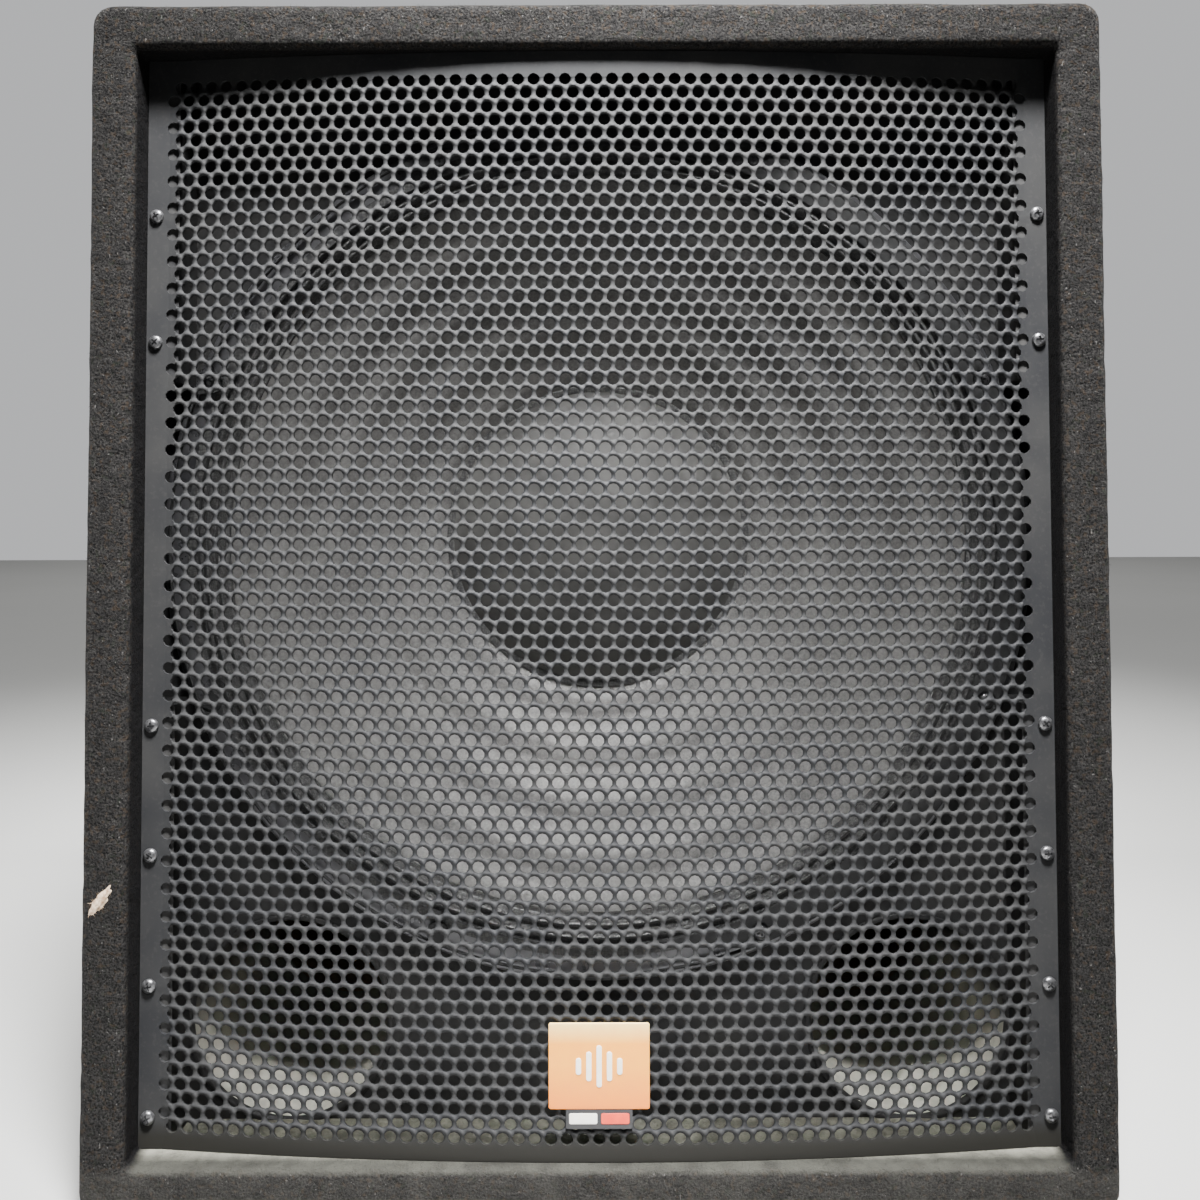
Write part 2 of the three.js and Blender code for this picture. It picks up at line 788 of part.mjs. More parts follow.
function addWoofer() {
  const driver = new THREE.Group();
  driver.position.set(0, 0, WOOFER_Z);
  cabinet.add(driver);
  add("woofer_basket", wooferBasket(), paintedSteel(), driver);
  add("woofer_gasket", wooferGasket(), rubber(), driver);
  add("surround", surround(), treatedCloth(), driver);
  add("cone", cone(), paperPulp(), driver);
  add("dust_cap", dustCap(), paperPulp(), driver);
  add("coil_former", coilFormer(), kapton(), driver);
  add("coil_winding", coilWinding(), copper(), driver);
  add("spider", spider(), treatedCloth(), driver);
  add("top_plate", topPlate(), platedSteel(), driver);
  add("magnet", magnetRing(), ferrite(), driver);
  add("yoke", yoke(), platedSteel(), driver);
  add("terminal_block", terminalBlock(), blackPlastic(), driver);
}

// ---------------------------------------------------------------------------------------------
// Ports
// ---------------------------------------------------------------------------------------------

function portTube() {
  return turned(ring(PORT_R, PORT_R + PORT_WALL, BAFFLE_FRONT, BAFFLE_FRONT + PORT_LENGTH), BIG_ROUND);
}

function addPorts() {
  for (const { name, sign } of SIDES) {
    add(`${name}_port_tube`, portTube(), blackPlastic()).position.set(sign * PORT_X, 0, PORT_Z);
  }
}

// ---------------------------------------------------------------------------------------------
// Side handles
// ---------------------------------------------------------------------------------------------

function pocketOutline(grow) {
  return roundedRect(
    HANDLE_POCKET.length + 2 * grow,
    HANDLE_POCKET.height + 2 * grow,
    HANDLE_POCKET.corner + grow,
    HANDLE_Y,
    HANDLE_Z,
  );
}

// A moulded cup: flange flush with the carpet, straight walls and a flat bottom.
function handleCup(sign) {
  const { length, height, corner } = HANDLE_FLANGE;
  const face = WIDTH / 2;
  const floorOuter = face - HANDLE_POCKET.depth - HANDLE_POCKET.wall;
  const floorInner = face - HANDLE_POCKET.depth;
  const flange = roundedRect(length, height, corner, HANDLE_Y, HANDLE_Z);
  flange.holes.push(pocketOutline(0));
  const walls = pocketOutline(HANDLE_POCKET.wall);
  walls.holes.push(pocketOutline(0));
  const slab = (shape, inner, outer) =>
    sign > 0 ? alongX(shape, inner, outer) : alongX(shape, -outer, -inner);
  return joined(
    slab(flange, WOOD.x, face),
    slab(walls, floorInner, WOOD.x),
    slab(pocketOutline(HANDLE_POCKET.wall), floorOuter, floorInner),
  );
}

function handleGrip(sign) {
  const face = WIDTH / 2 - CARPET;
  const middle = sign * (face - GRIP.thickness / 2);
  const section = roundedRect(GRIP.thickness, GRIP.height, GRIP.corner, middle, HANDLE_Z);
  const half = HANDLE_POCKET.length / 2 - GAP;
  return alongY(section, HANDLE_Y - half, HANDLE_Y + half, 3);
}

function addHandles() {
  for (const { name, sign } of SIDES) {
    add(`${name}_handle_cup`, handleCup(sign), blackPlastic());
    add(`${name}_handle_grip`, handleGrip(sign), rubber());
  }
}

// ---------------------------------------------------------------------------------------------
// Pole socket, input dish, connectors and feet
// ---------------------------------------------------------------------------------------------

function poleSocket() {
  const bottom = BODY_TOP - POLE_DEPTH - POLE_WALL;
  const profile = [
    [0, bottom],
    [POLE_R + POLE_WALL, bottom],
    [POLE_R + POLE_WALL, WOOD.top],
    [POLE_FLANGE_R, WOOD.top],
    [POLE_FLANGE_R, BODY_TOP],
    [POLE_R, BODY_TOP],
    [POLE_R, bottom + POLE_WALL],
    [0, bottom + POLE_WALL],
  ];
  return turnedAboutZ(profile, BIG_ROUND, false).translate(0, POLE_SOCKET_Y, 0);
}

const DISH_FLOOR = REAR - DISH_POCKET.depth;
const TWIST_BARREL_R = 12;
const JACK_BUSH_R = 5.5;
const PLATE_GAP = 0.1;
const PLATE_THICKNESS = 2.6;

function inputDish() {
  const flange = roundedRect(DISH_FLANGE.width, DISH_FLANGE.height, DISH_FLANGE.corner, 0, DISH_Z);
  flange.holes.push(dishOutline(0));
  const walls = dishOutline(DISH_POCKET.wall);
  walls.holes.push(dishOutline(0));
  const floor = dishOutline(DISH_POCKET.wall);
  for (const dz of [-CONNECTOR_DZ, CONNECTOR_DZ]) {
    floor.holes.push(polygonHole(-CONNECTOR_X, DISH_Z + dz, TWIST_BARREL_R + GAP, SMALL_ROUND));
    floor.holes.push(polygonHole(CONNECTOR_X, DISH_Z + dz, JACK_BUSH_R + GAP, SMALL_ROUND));
  }
  return joined(
    alongY(flange, WOOD.rear, REAR),
    alongY(walls, DISH_FLOOR, WOOD.rear),
    alongY(floor, DISH_FLOOR - DISH_POCKET.floor, DISH_FLOOR),
  );
}

// Twist-lock loudspeaker socket: rectangular face plate and a barrel, open towards the rear.
function twistSocket() {
  const boreR = 10.4;
  const boreDepth = 20;
  const endThickness = 6;
  const plate = roundedRect(26, 31, 3);
  plate.holes.push(polygonHole(0, 0, boreR, SMALL_ROUND));
  const barrelShape = polygonShape(TWIST_BARREL_R);
  const endShape = barrelShape.clone();
  barrelShape.holes.push(polygonHole(0, 0, boreR, SMALL_ROUND));
  const plateBack = DISH_FLOOR + PLATE_GAP;
  const plateFront = plateBack + PLATE_THICKNESS;
  const boreEnd = plateFront - boreDepth;
  return joined(
    alongY(plate, plateBack, plateFront),
    alongY(barrelShape, boreEnd, plateBack),
    alongY(endShape, boreEnd - endThickness, boreEnd),
  );
}

function polygonShape(radius) {
  return new THREE.Shape(polygonHole(0, 0, radius, SMALL_ROUND).getPoints());
}

// Quarter-inch jack: round nut and bush in front of the panel, moulded body behind it.
function phoneJack() {
  const boreR = 3.5;
  const boreDepth = 28;
  const endThickness = 3;
  const nutR = 8;
  const bodyOutline = () => rectangle(-9, 9, -11, 11);
  const bored = (shape) => {
    shape.holes.push(polygonHole(0, 0, boreR, SMALL_ROUND));
    return shape;
  };
  const nutBack = DISH_FLOOR + PLATE_GAP;
  const nutFront = nutBack + PLATE_THICKNESS;
  const bodyFront = DISH_FLOOR - DISH_POCKET.floor - PLATE_GAP;
  const boreEnd = nutFront - boreDepth;
  return joined(
    alongY(bored(polygonShape(nutR)), nutBack, nutFront),
    alongY(bored(polygonShape(JACK_BUSH_R)), bodyFront, nutBack),
    alongY(bored(bodyOutline()), boreEnd, bodyFront),
    alongY(bodyOutline(), boreEnd - endThickness, boreEnd),
  );
}

function addInputs() {
  add("input_dish", inputDish(), blackPlastic());
  const rows = [
    ["lower", DISH_Z - CONNECTOR_DZ],
    ["upper", DISH_Z + CONNECTOR_DZ],
  ];
  for (const [name, z] of rows) {
    add(`${name}_twist_socket`, twistSocket(), blackPlastic()).position.set(-CONNECTOR_X, 0, z);
    add(`${name}_phone_jack`, phoneJack(), blackPlastic()).position.set(CONNECTOR_X, 0, z);
  }
}

// Rubber foot with a counterbore underneath for its screw.
function foot() {
  const counterboreR = 6;
  const counterboreDepth = 4;
  const taper = 2;
  const rim = 1;
  const profile = [
    [0, counterboreDepth],
    [counterboreR, counterboreDepth],
    [counterboreR, 0],
    [FOOT_R - taper, 0],
    [FOOT_R, FOOT_HEIGHT - rim],
    [FOOT_R, FOOT_HEIGHT],
    [0, FOOT_HEIGHT],
  ];
  return turnedAboutZ(profile, SMALL_ROUND, false);
}

function addFeet() {
  const corners = [
    ["front_left", -1, -1],
    ["front_right", 1, -1],
    ["rear_left", -1, 1],
    ["rear_right", 1, 1],
  ];
  for (const [name, sx, sy] of corners) {
    add(`${name}_foot`, foot(), rubber()).position.set(sx * FOOT_X, sy * FOOT_Y, 0);
  }
}

// ---------------------------------------------------------------------------------------------
// Assembly
// ---------------------------------------------------------------------------------------------

addEnclosure();
addSoftCovering();
addGrille();
addWoofer();
addPorts();
addHandles();
add("pole_socket", poleSocket(), blackPaint());
addInputs();
addFeet();

export default cabinet;
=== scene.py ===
import math
import random

import bmesh
import bpy
from mathutils import Matrix, Vector, noise
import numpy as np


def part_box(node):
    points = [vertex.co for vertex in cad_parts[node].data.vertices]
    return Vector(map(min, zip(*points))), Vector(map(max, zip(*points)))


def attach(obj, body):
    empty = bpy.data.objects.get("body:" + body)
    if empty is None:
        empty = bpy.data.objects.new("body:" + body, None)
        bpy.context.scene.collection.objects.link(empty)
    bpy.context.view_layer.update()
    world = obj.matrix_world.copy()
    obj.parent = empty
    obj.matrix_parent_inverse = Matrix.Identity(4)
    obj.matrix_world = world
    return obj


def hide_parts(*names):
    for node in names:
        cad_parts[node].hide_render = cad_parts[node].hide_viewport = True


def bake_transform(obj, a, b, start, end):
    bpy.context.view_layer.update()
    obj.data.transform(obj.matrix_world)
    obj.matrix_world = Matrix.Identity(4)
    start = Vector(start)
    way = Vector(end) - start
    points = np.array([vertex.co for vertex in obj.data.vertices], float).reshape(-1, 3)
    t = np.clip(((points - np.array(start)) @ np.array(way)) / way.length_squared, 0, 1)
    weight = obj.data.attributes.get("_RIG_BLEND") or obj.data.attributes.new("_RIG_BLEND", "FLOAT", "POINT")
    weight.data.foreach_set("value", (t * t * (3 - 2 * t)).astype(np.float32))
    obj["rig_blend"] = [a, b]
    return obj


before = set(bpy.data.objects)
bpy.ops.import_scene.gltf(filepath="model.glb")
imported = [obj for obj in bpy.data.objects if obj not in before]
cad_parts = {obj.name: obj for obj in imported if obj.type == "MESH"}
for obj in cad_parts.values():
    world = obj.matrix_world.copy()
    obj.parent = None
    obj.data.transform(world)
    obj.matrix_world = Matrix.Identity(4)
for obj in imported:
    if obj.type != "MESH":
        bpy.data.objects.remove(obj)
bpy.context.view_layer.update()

# A carpet-covered bass loudspeaker cabinet: one large cone driver and two round ports behind a bowed,
# perforated steel grille. Lengths are in metres; MM turns a size in millimetres into metres.

MM = 0.001


def span(node):
    """The lowest and highest corners of a CAD node's box, and its centre."""
    low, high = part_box(node)
    return low, high, (low + high) / 2


def middle(node):
    return span(node)[2]


# ---- Driving dimensions ----

WRAP_LOW, WRAP_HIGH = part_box("carpet_wrap")
FRONT = WRAP_LOW.y
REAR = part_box("rear_carpet")[1].y
HALF_WIDTH = WRAP_HIGH.x
BODY_BOTTOM = WRAP_LOW.z
BODY_TOP = WRAP_HIGH.z
CARPET = 2 * MM
BOARD = 18 * MM
OPENING_X = HALF_WIDTH - BOARD - 2 * CARPET
OPENING_LOW = BODY_BOTTOM + BOARD + 2 * CARPET
OPENING_HIGH = BODY_TOP - BOARD - 2 * CARPET
BAFFLE_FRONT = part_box("baffle")[0].y
LIP_INNER_TURN = 4 * MM
LIP_OUTER_TURN = 4.5 * MM
REAR_TURN = 4 * MM
LONG_EDGE_TURN = 10 * MM
LINING_TURN = 3 * MM

GRILLE_LOW, GRILLE_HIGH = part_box("grille")
GRILLE_SHEET = 1.5 * MM
GRILLE_BOW = 12.5 * MM
GRILLE_BEND_X = OPENING_X - 12.2 * MM
GRILLE_FLAT_Y = GRILLE_LOW.y + GRILLE_BOW
HOLE_PITCH = 7.85 * MM
HOLE_ROW_PITCH = 6.85 * MM
HOLE_R = 3.05 * MM
HOLE_ROWS = 77
HOLES_IN_FIRST_ROW = 55
HOLE_SIDES = 10
HOLES_RISE = -1.6 * MM
SCREW_NODES = [f"grille_screw_{side}_{i}" for side in ("left", "right") for i in range(1, 7)]
SCREW_HOLE_R = 2.1 * MM

HANDLE_MOUTH = (163 * MM, 83 * MM)
HANDLE_TURN = 12 * MM
HANDLE_DEPTH = 52 * MM
DISH_MOUTH = (124 * MM, 84 * MM)
DISH_TURN = 8 * MM
DISH_DEPTH = 22 * MM
FLANGE_GRIP = 0.2 * MM

DRIVER_Z = middle("cone").z
FRAME_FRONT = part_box("woofer_basket")[0].y
CONE_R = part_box("cone")[1].x
CONE_EDGE_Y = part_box("cone")[0].y
CONE_NECK_R = 38.8 * MM
CONE_SLOPE = 85 * MM / (CONE_R - CONE_NECK_R)
MOTOR_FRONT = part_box("top_plate")[0].y
DRIVER_AXIS = (0.0, DRIVER_Z)  # X and Z; the axis runs along Y
BOLT_COUNT = 8
BOLT_CIRCLE_R = 217 * MM
FRAME_R = 227 * MM
FRAME_MOUTH_R = 207 * MM

LOOSE_HAIRS = 16000
HAIR_LENGTH = 1.9 * MM
HAIR_R = 0.07 * MM
LIP_HAIR_WEIGHT = 7.0
LIP_HAIR_DEPTH = 25 * MM
# Each wave of the pile: its frequency per metre, a shift of the pattern, and its height in millimetres.
PILE_WAVES = ((22, (0, 0, 0), 0.3), (95, (5, 0, 0), 0.25), (210, (0, 9, 0), 0.25))
# How far the pile as a whole is pressed in, and half the torn spot's sizes, both in millimetres.
PILE_SINK = 0.1
TORN_SPOT_SIZE = (2.4, 0.9, 7.5)
TORN_SPOT_Z = 157 * MM
TORN_HAIRS = 260
TORN_HAIR_LENGTH = 3 * MM

CAMERA_PLACE = (0.00185, -0.8633, 0.3556)
CAMERA_TURN = (91.95, 0.17, 0.06)
CAMERA_SENSOR = 36.0
CAMERA_LENS = 34.45
CAMERA_SHIFT = -0.1254

SIDES = (("left", -1), ("right", 1))

# Each lamp: its name, width, power in watts, place, target and the full angle of its beam in degrees.
LAMPS = (
    ("key", 0.3, 16.0, (0.11, -0.85, 1.5), (0.0, -0.27, 0.36), 50),
    ("overhead", 7.0, 230.0, (0.0, 3.2, 4.2), (0.0, 3.2, 0.0), 180),
    ("left_side", 1.0, 20.0, (-2.4, 0.2, 1.2), (-0.25, 0.05, 0.32), 60),
    ("right_side", 1.0, 20.0, (2.4, 0.2, 1.2), (0.25, 0.05, 0.32), 60),
    ("rear", 1.0, 22.0, (0.5, 2.6, 1.3), (0.0, 0.3, 0.3), 60),
)
FLOOR_HALF = 5.0
AMBIENT = 0.048
BACKDROP = 0.62


# ---- Materials ----


class Look:
    """A material under construction: one Principled shader and the textures that feed it."""

    def __init__(self, name, constants):
        self.material = bpy.data.materials.new(name)
        self.material.use_nodes = True
        self.tree = self.material.node_tree
        self.shader = self.tree.nodes["Principled BSDF"]
        for socket, value in constants.items():
            self.shader.inputs[socket].default_value = value
        self.place = self.tree.nodes.new("ShaderNodeTexCoord").outputs["Object"]

    def node(self, kind, inputs, **settings):
        made = self.tree.nodes.new(kind)
        for name, value in settings.items():
            setattr(made, name, value)
        for name, value in inputs.items():
            self.feed(made.inputs[name], value)
        return made

    def feed(self, socket, value):
        """Links another node's output to a socket, or sets the socket to a plain value."""
        if isinstance(value, bpy.types.NodeSocket):
            self.tree.links.new(value, socket)
        elif socket.type == "RGBA":
            socket.default_value = (*value, 1.0)
        else:
            socket.default_value = value

    def stretched(self, x, y, z):
        return self.node("ShaderNodeMapping", {"Vector": self.place, "Scale": (x, y, z)}).outputs[0]

    def noise(self, size, detail=3.0, rough=0.55, place=None):
        """Soft mottling with features of about that size."""
        inputs = {"Vector": place or self.place, "Scale": 1 / size, "Detail": detail, "Roughness": rough}
        return self.node("ShaderNodeTexNoise", inputs).outputs[0]

    def spread(self, factor, low, high, to_low=0.0, to_high=1.0):
        """A factor's range from low to high, stretched to run from to_low to to_high."""
        inputs = {"Value": factor, "From Min": low, "From Max": high, "To Min": to_low, "To Max": to_high}
        return self.node("ShaderNodeMapRange", inputs).outputs[0]

    def along(self, axis, low, high, to_low=0.0, to_high=1.0):
        """A ramp along X, Y or Z, which is to_low at low and to_high at high."""
        return self.spread(self.coordinate(axis), low, high, to_low, to_high)

    def combined(self, operation, a, b):
        return self.node("ShaderNodeMath", {0: a, 1: b}, operation=operation).outputs[0]

    def mixed(self, factor, a, b):
        """Colour a where the factor is 0 and b where it is 1."""
        return self.node("ShaderNodeMix", {0: factor, 6: a, 7: b}, data_type="RGBA").outputs[2]

    def layered(self, colour, *layers):
        """The colour with each (mask, colour) pair laid over it in turn."""
        for mask, tone in layers:
            colour = self.mixed(mask, colour, tone)
        return colour

    def product(self, first, *others):
        for other in others:
            first = self.combined("MULTIPLY", first, other)
        return first

    def coordinate(self, axis):
        return self.node("ShaderNodeSeparateXYZ", {"Vector": self.place}).outputs[axis]

    def paint(self, colour):
        self.tree.links.new(colour, self.shader.inputs["Base Color"])

    def roughen(self, factor, low, high):
        """Roughness from low to high over the middle of a noise's range."""
        self.tree.links.new(self.spread(factor, 0.3, 0.7, low, high), self.shader.inputs["Roughness"])

    def bump(self, height, depth, strength=1.0):
        """Raises the surface by up to depth where height is 1."""
        normal = self.shader.inputs["Normal"]
        inputs = {"Height": height, "Distance": depth, "Strength": strength}
        if normal.is_linked:
            inputs["Normal"] = normal.links[0].from_socket
        self.tree.links.new(self.node("ShaderNodeBump", inputs).outputs[0], normal)


def carpet_look():
    """Needle-punched charcoal carpet: tangled fibres, a few brown and green ones, and light lint."""
    look = Look("carpet_cloth", {"Roughness": 0.95, "Specular IOR Level": 0.05})
    fibres = look.noise(1.1 * MM, detail=4.0, rough=0.7)
    long_fibres = look.noise(1.6 * MM, detail=2.0, place=look.stretched(0.55, 1.0, 0.9))
    clumps = look.noise(7 * MM, detail=2.0)
    brown = look.noise(2.6 * MM, detail=1.0)
    green = look.noise(3.1 * MM, detail=1.0, place=look.stretched(1.0, 1.3, 0.9))
    lint = look.noise(1.4 * MM, detail=0.0, place=look.stretched(1.1, 0.9, 1.0))
    charcoal = look.mixed(look.spread(fibres, 0.38, 0.66), (0.005, 0.005, 0.0052), (0.042, 0.040, 0.038))
    colour = look.layered(
        charcoal,
        (look.spread(clumps, 0.35, 0.7, 0.0, 0.45), (0.008, 0.008, 0.0085)),
        (look.spread(brown, 0.56, 0.68, 0.0, 0.55), (0.036, 0.026, 0.018)),
        (look.spread(green, 0.64, 0.7, 0.0, 0.35), (0.015, 0.019, 0.013)),
        (look.spread(lint, 0.79, 0.83, 0.0, 0.5), (0.14, 0.135, 0.13)),
        # Painted shade: the carpet inside the front recess is darkened where shade falls.
        (painted_recess_shade(look), (0.004, 0.004, 0.0045)),
        # Painted light: the floor of the recess is painted paler where light from above falls on it, most
        # behind the grille.
        (recess_floor(look), painted_recess_floor_light(look)),
        # Painted light: the upward-facing front of the lower lip is painted paler in patches.
        (painted_lip_light(look), (0.060, 0.058, 0.052)),
    )
    look.paint(colour)
    look.bump(fibres, 1.3 * MM)
    look.bump(long_fibres, 0.8 * MM, 0.3)
    look.bump(clumps, 2.4 * MM, 0.8)
    return look.material


def painted_recess_shade(look):
    """A mask for the carpet inside the front recess, which is painted darker as painted shade."""
    across = look.combined("ABSOLUTE", look.coordinate("X"), 0.0)
    inside = look.spread(across, OPENING_X + 2 * MM, OPENING_X + 1 * MM)
    behind_lip = look.along("Y", FRONT + 2 * MM, FRONT + 6 * MM)
    in_recess = look.along("Y", BAFFLE_FRONT + 4 * MM, BAFFLE_FRONT, 0.0, 0.8)
    under_top = look.along("Z", OPENING_HIGH + 2 * MM, OPENING_HIGH + 1 * MM)
    over_bottom = look.along("Z", OPENING_LOW - 2 * MM, OPENING_LOW - 1 * MM)
    return look.product(inside, behind_lip, in_recess, under_top, over_bottom)


def recess_floor(look):
    """A mask for the floor of the front recess, which is painted paler in patches as painted light from
    above.
    """
    across = look.combined("ABSOLUTE", look.coordinate("X"), 0.0)
    inside = look.spread(across, OPENING_X - 1 * MM, OPENING_X - 6 * MM)
    low = look.along("Z", OPENING_LOW + 8 * MM, OPENING_LOW + 1 * MM)
    high = look.along("Z", OPENING_LOW - 3 * MM, OPENING_LOW - 1 * MM)
    in_recess = look.along("Y", BAFFLE_FRONT + 4 * MM, BAFFLE_FRONT)
    patches = look.spread(look.noise(12 * MM), 0.3, 0.6, 0.5, 1.0)
    return look.product(patches, inside, low, high, in_recess)


def painted_recess_floor_light(look):
    """The colour of that painted light: it is painted paler behind the grille, where light from above falls
    on the floor.
    """
    behind_grille = look.along("Y", GRILLE_LOW.y + 2 * MM, GRILLE_FLAT_Y + 2 * MM)
    return look.mixed(behind_grille, (0.056, 0.056, 0.048), (0.29, 0.285, 0.235))


def painted_lip_light(look):
    """A mask for the rounded top of the lower lip's front, which is painted paler in patches as painted
    light from above.
    """
    low = look.along("Z", OPENING_LOW + 1 * MM, OPENING_LOW - 3 * MM)
    front = look.along("Y", FRONT + 9 * MM, FRONT + 3 * MM)
    patches = look.spread(look.noise(16 * MM), 0.3, 0.7, 0.05, 0.35)
    return look.product(low, front, patches)


def powder_coat_look():
    """Satin charcoal powder coat with fine orange peel and dust."""
    look = Look("grille_powder_coat", {"Specular IOR Level": 0.2})
    dust = look.noise(38 * MM, detail=5.0)
    speckle = look.noise(1.7 * MM, detail=1.0)
    colour = look.mixed(look.spread(dust, 0.35, 0.7), (0.0155, 0.016, 0.0175), (0.0245, 0.0245, 0.0245))
    colour = look.mixed(look.spread(speckle, 0.55, 0.75, 0.0, 0.35), colour, (0.035, 0.034, 0.033))
    foot = look.along("Z", GRILLE_LOW.z + 14 * MM, GRILLE_LOW.z + 6 * MM)
    look.paint(look.mixed(foot, colour, (0.0145, 0.014, 0.012)))
    look.roughen(dust, 0.60, 0.75)
    look.bump(look.noise(0.8 * MM, detail=1.0), 0.05 * MM, 0.5)
    return look.material


def pulp_look():
    """Treated paper cone: short pressed fibres, and a grey bloom of dust."""
    look = Look("cone_pulp", {"Specular IOR Level": 1.0, "Metallic": 0.45})
    fibres = look.noise(1.5 * MM, detail=4.0, rough=0.65)
    dust = look.noise(45 * MM, detail=4.0)
    colour = look.mixed(look.spread(fibres, 0.35, 0.7), (0.12, 0.118, 0.115), (0.22, 0.216, 0.21))
    colour = look.mixed(look.spread(dust, 0.42, 0.72, 0.0, 0.5), colour, (0.26, 0.254, 0.245))
    look.paint(colour)
    look.roughen(dust, 0.56, 0.66)
    look.bump(fibres, 0.22 * MM, 0.5)
    return look.material


def doped_cloth_look():
    """Resin-doped woven cloth of the surround and the spider."""
    look = Look("doped_cloth", {"Specular IOR Level": 0.8})
    weave = look.combined(
        "MULTIPLY",
        look.noise(0.9 * MM, detail=1.0, place=look.stretched(1.0, 1.0, 0.3)),
        look.noise(0.9 * MM, detail=1.0, place=look.stretched(0.3, 1.0, 1.0)),
    )
    colour = look.mixed(look.spread(weave, 0.15, 0.4), (0.034, 0.034, 0.036), (0.11, 0.109, 0.106))
    look.paint(colour)
    look.roughen(look.noise(9 * MM), 0.32, 0.5)
    look.bump(weave, 0.5 * MM, 0.8)
    return look.material


def mottled_look(name, dark, light, size, rough, grain, depth, metallic=0.0):
    """A finish in two close tones with patches of that size, over a fine grain of that depth."""
    look = Look(name, {"Metallic": metallic})
    patches = look.noise(size, detail=4.0)
    fine = look.noise(grain, detail=2.0)
    look.paint(look.mixed(look.spread(patches, 0.35, 0.68), dark, light))
    look.roughen(patches, *rough)
    look.bump(fine, depth, 0.7)
    return look.material


def plywood_look():
    """Birch plywood: long grain along the board and thin dark ply lines at its edges."""
    look = Look("plywood", {"Specular IOR Level": 0.4})
    grain = look.noise(7 * MM, detail=5.0, place=look.stretched(1.0, 0.08, 1.0))
    plies = look.node(
        "ShaderNodeTexWave",
        {"Vector": look.place, "Scale": 55.0, "Distortion": 0.6, "Detail": 1.0},
        bands_direction="DIAGONAL",
    ).outputs["Fac"]
    colour = look.mixed(look.spread(grain, 0.35, 0.68), (0.50, 0.345, 0.19), (0.69, 0.52, 0.33))
    colour = look.mixed(look.spread(plies, 0.82, 0.95, 0.0, 0.35), colour, (0.33, 0.21, 0.11))
    look.paint(colour)
    look.roughen(grain, 0.52, 0.72)
    look.bump(grain, 0.3 * MM, 0.6)
    return look.material


def wadding_look():
    """Loose bonded polyester fibres."""
    look = Look("wadding", {"Roughness": 1.0, "Sheen Weight": 0.4})
    strands = look.noise(2.2 * MM, detail=5.0, rough=0.75, place=look.stretched(1.0, 0.3, 0.5))
    look.paint(look.mixed(look.spread(strands, 0.3, 0.7), (0.58, 0.56, 0.50), (0.86, 0.85, 0.80)))
    look.bump(strands, 2.2 * MM)
    look.bump(look.noise(11 * MM), 4 * MM, 0.6)
    return look.material


def port_look():
    """Board tubes painted dark in their upper half as painted shade, and pale in their lower half as painted
    light from above.
    """
    look = Look("port_tube_board", {"Specular IOR Level": 0.3})
    patches = look.noise(18 * MM)
    axis_z = middle("left_port_tube").z
    # Painted light: the lower half, lit from above through the mouth, is pale; the upper half, in shade, is
    # painted dark.
    lit_lower_half = look.along("Z", axis_z + 12 * MM, axis_z - 14 * MM)
    pale = look.mixed(look.spread(patches, 0.35, 0.65), (0.52, 0.505, 0.44), (0.72, 0.70, 0.62))
    look.paint(look.mixed(lit_lower_half, (0.060, 0.059, 0.055), pale))
    look.roughen(patches, 0.6, 0.8)
    look.bump(look.noise(1.2 * MM), 0.1 * MM, 0.5)
    return look.material


def badge_look():
    """Orange enamel with painted light from above: paler towards its top edge as a painted highlight, and
    redder and darker towards its foot as painted shade.
    """
    look = Look("badge_enamel", {"Specular IOR Level": 0.35})
    low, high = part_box("badge")
    height = look.along("Z", low.z, high.z)
    # Painted light: the enamel is painted darker and redder towards its foot and paler towards its top edge.
    colour = look.mixed(look.spread(height, 0.05, 0.6), (0.84, 0.18, 0.010), (0.97, 0.38, 0.028))
    colour = look.mixed(look.spread(height, 0.8, 0.98), colour, (0.98, 0.68, 0.24))
    colour = look.mixed(look.spread(look.noise(6 * MM), 0.4, 0.8, 0.0, 0.2), colour, (0.82, 0.22, 0.06))
    look.paint(colour)
    look.roughen(look.noise(4 * MM), 0.28, 0.4)
    look.bump(look.noise(1.5 * MM), 0.04 * MM, 0.4)
    return look.material


BLACK_PAINT = mottled_look(
    "baffle_paint", (0.012, 0.012, 0.013), (0.030, 0.029, 0.028),
    size=30 * MM, rough=(0.55, 0.8), grain=2 * MM, depth=0.2 * MM,
)
PLASTIC = mottled_look(
    "moulded_plastic", (0.020, 0.020, 0.022), (0.036, 0.036, 0.038),
    size=25 * MM, rough=(0.42, 0.6), grain=0.7 * MM, depth=0.08 * MM,
)
RUBBER = mottled_look(
    "black_rubber", (0.018, 0.018, 0.019), (0.034, 0.034, 0.034),
    size=12 * MM, rough=(0.7, 0.9), grain=0.9 * MM, depth=0.1 * MM,
)
BLACK_ZINC = mottled_look(
    "black_zinc", (0.10, 0.10, 0.105), (0.26, 0.26, 0.265),
    size=1.5 * MM, rough=(0.25, 0.42), grain=0.5 * MM, depth=0.03 * MM, metallic=0.85,
)
FRAME_PAINT = mottled_look(
    "frame_paint", (0.14, 0.14, 0.15), (0.24, 0.24, 0.25),
    size=22 * MM, rough=(0.22, 0.38), grain=1.1 * MM, depth=0.04 * MM, metallic=0.7,
)
SOCKET_PAINT = mottled_look(
    "socket_powder_coat", (0.012, 0.012, 0.013), (0.026, 0.026, 0.027),
    size=9 * MM, rough=(0.55, 0.75), grain=0.9 * MM, depth=0.08 * MM,
)
PLATED_STEEL = mottled_look(
    "zinc_plate", (0.42, 0.43, 0.44), (0.62, 0.62, 0.60),
    size=14 * MM, rough=(0.28, 0.45), grain=0.8 * MM, depth=0.05 * MM, metallic=0.95,
)
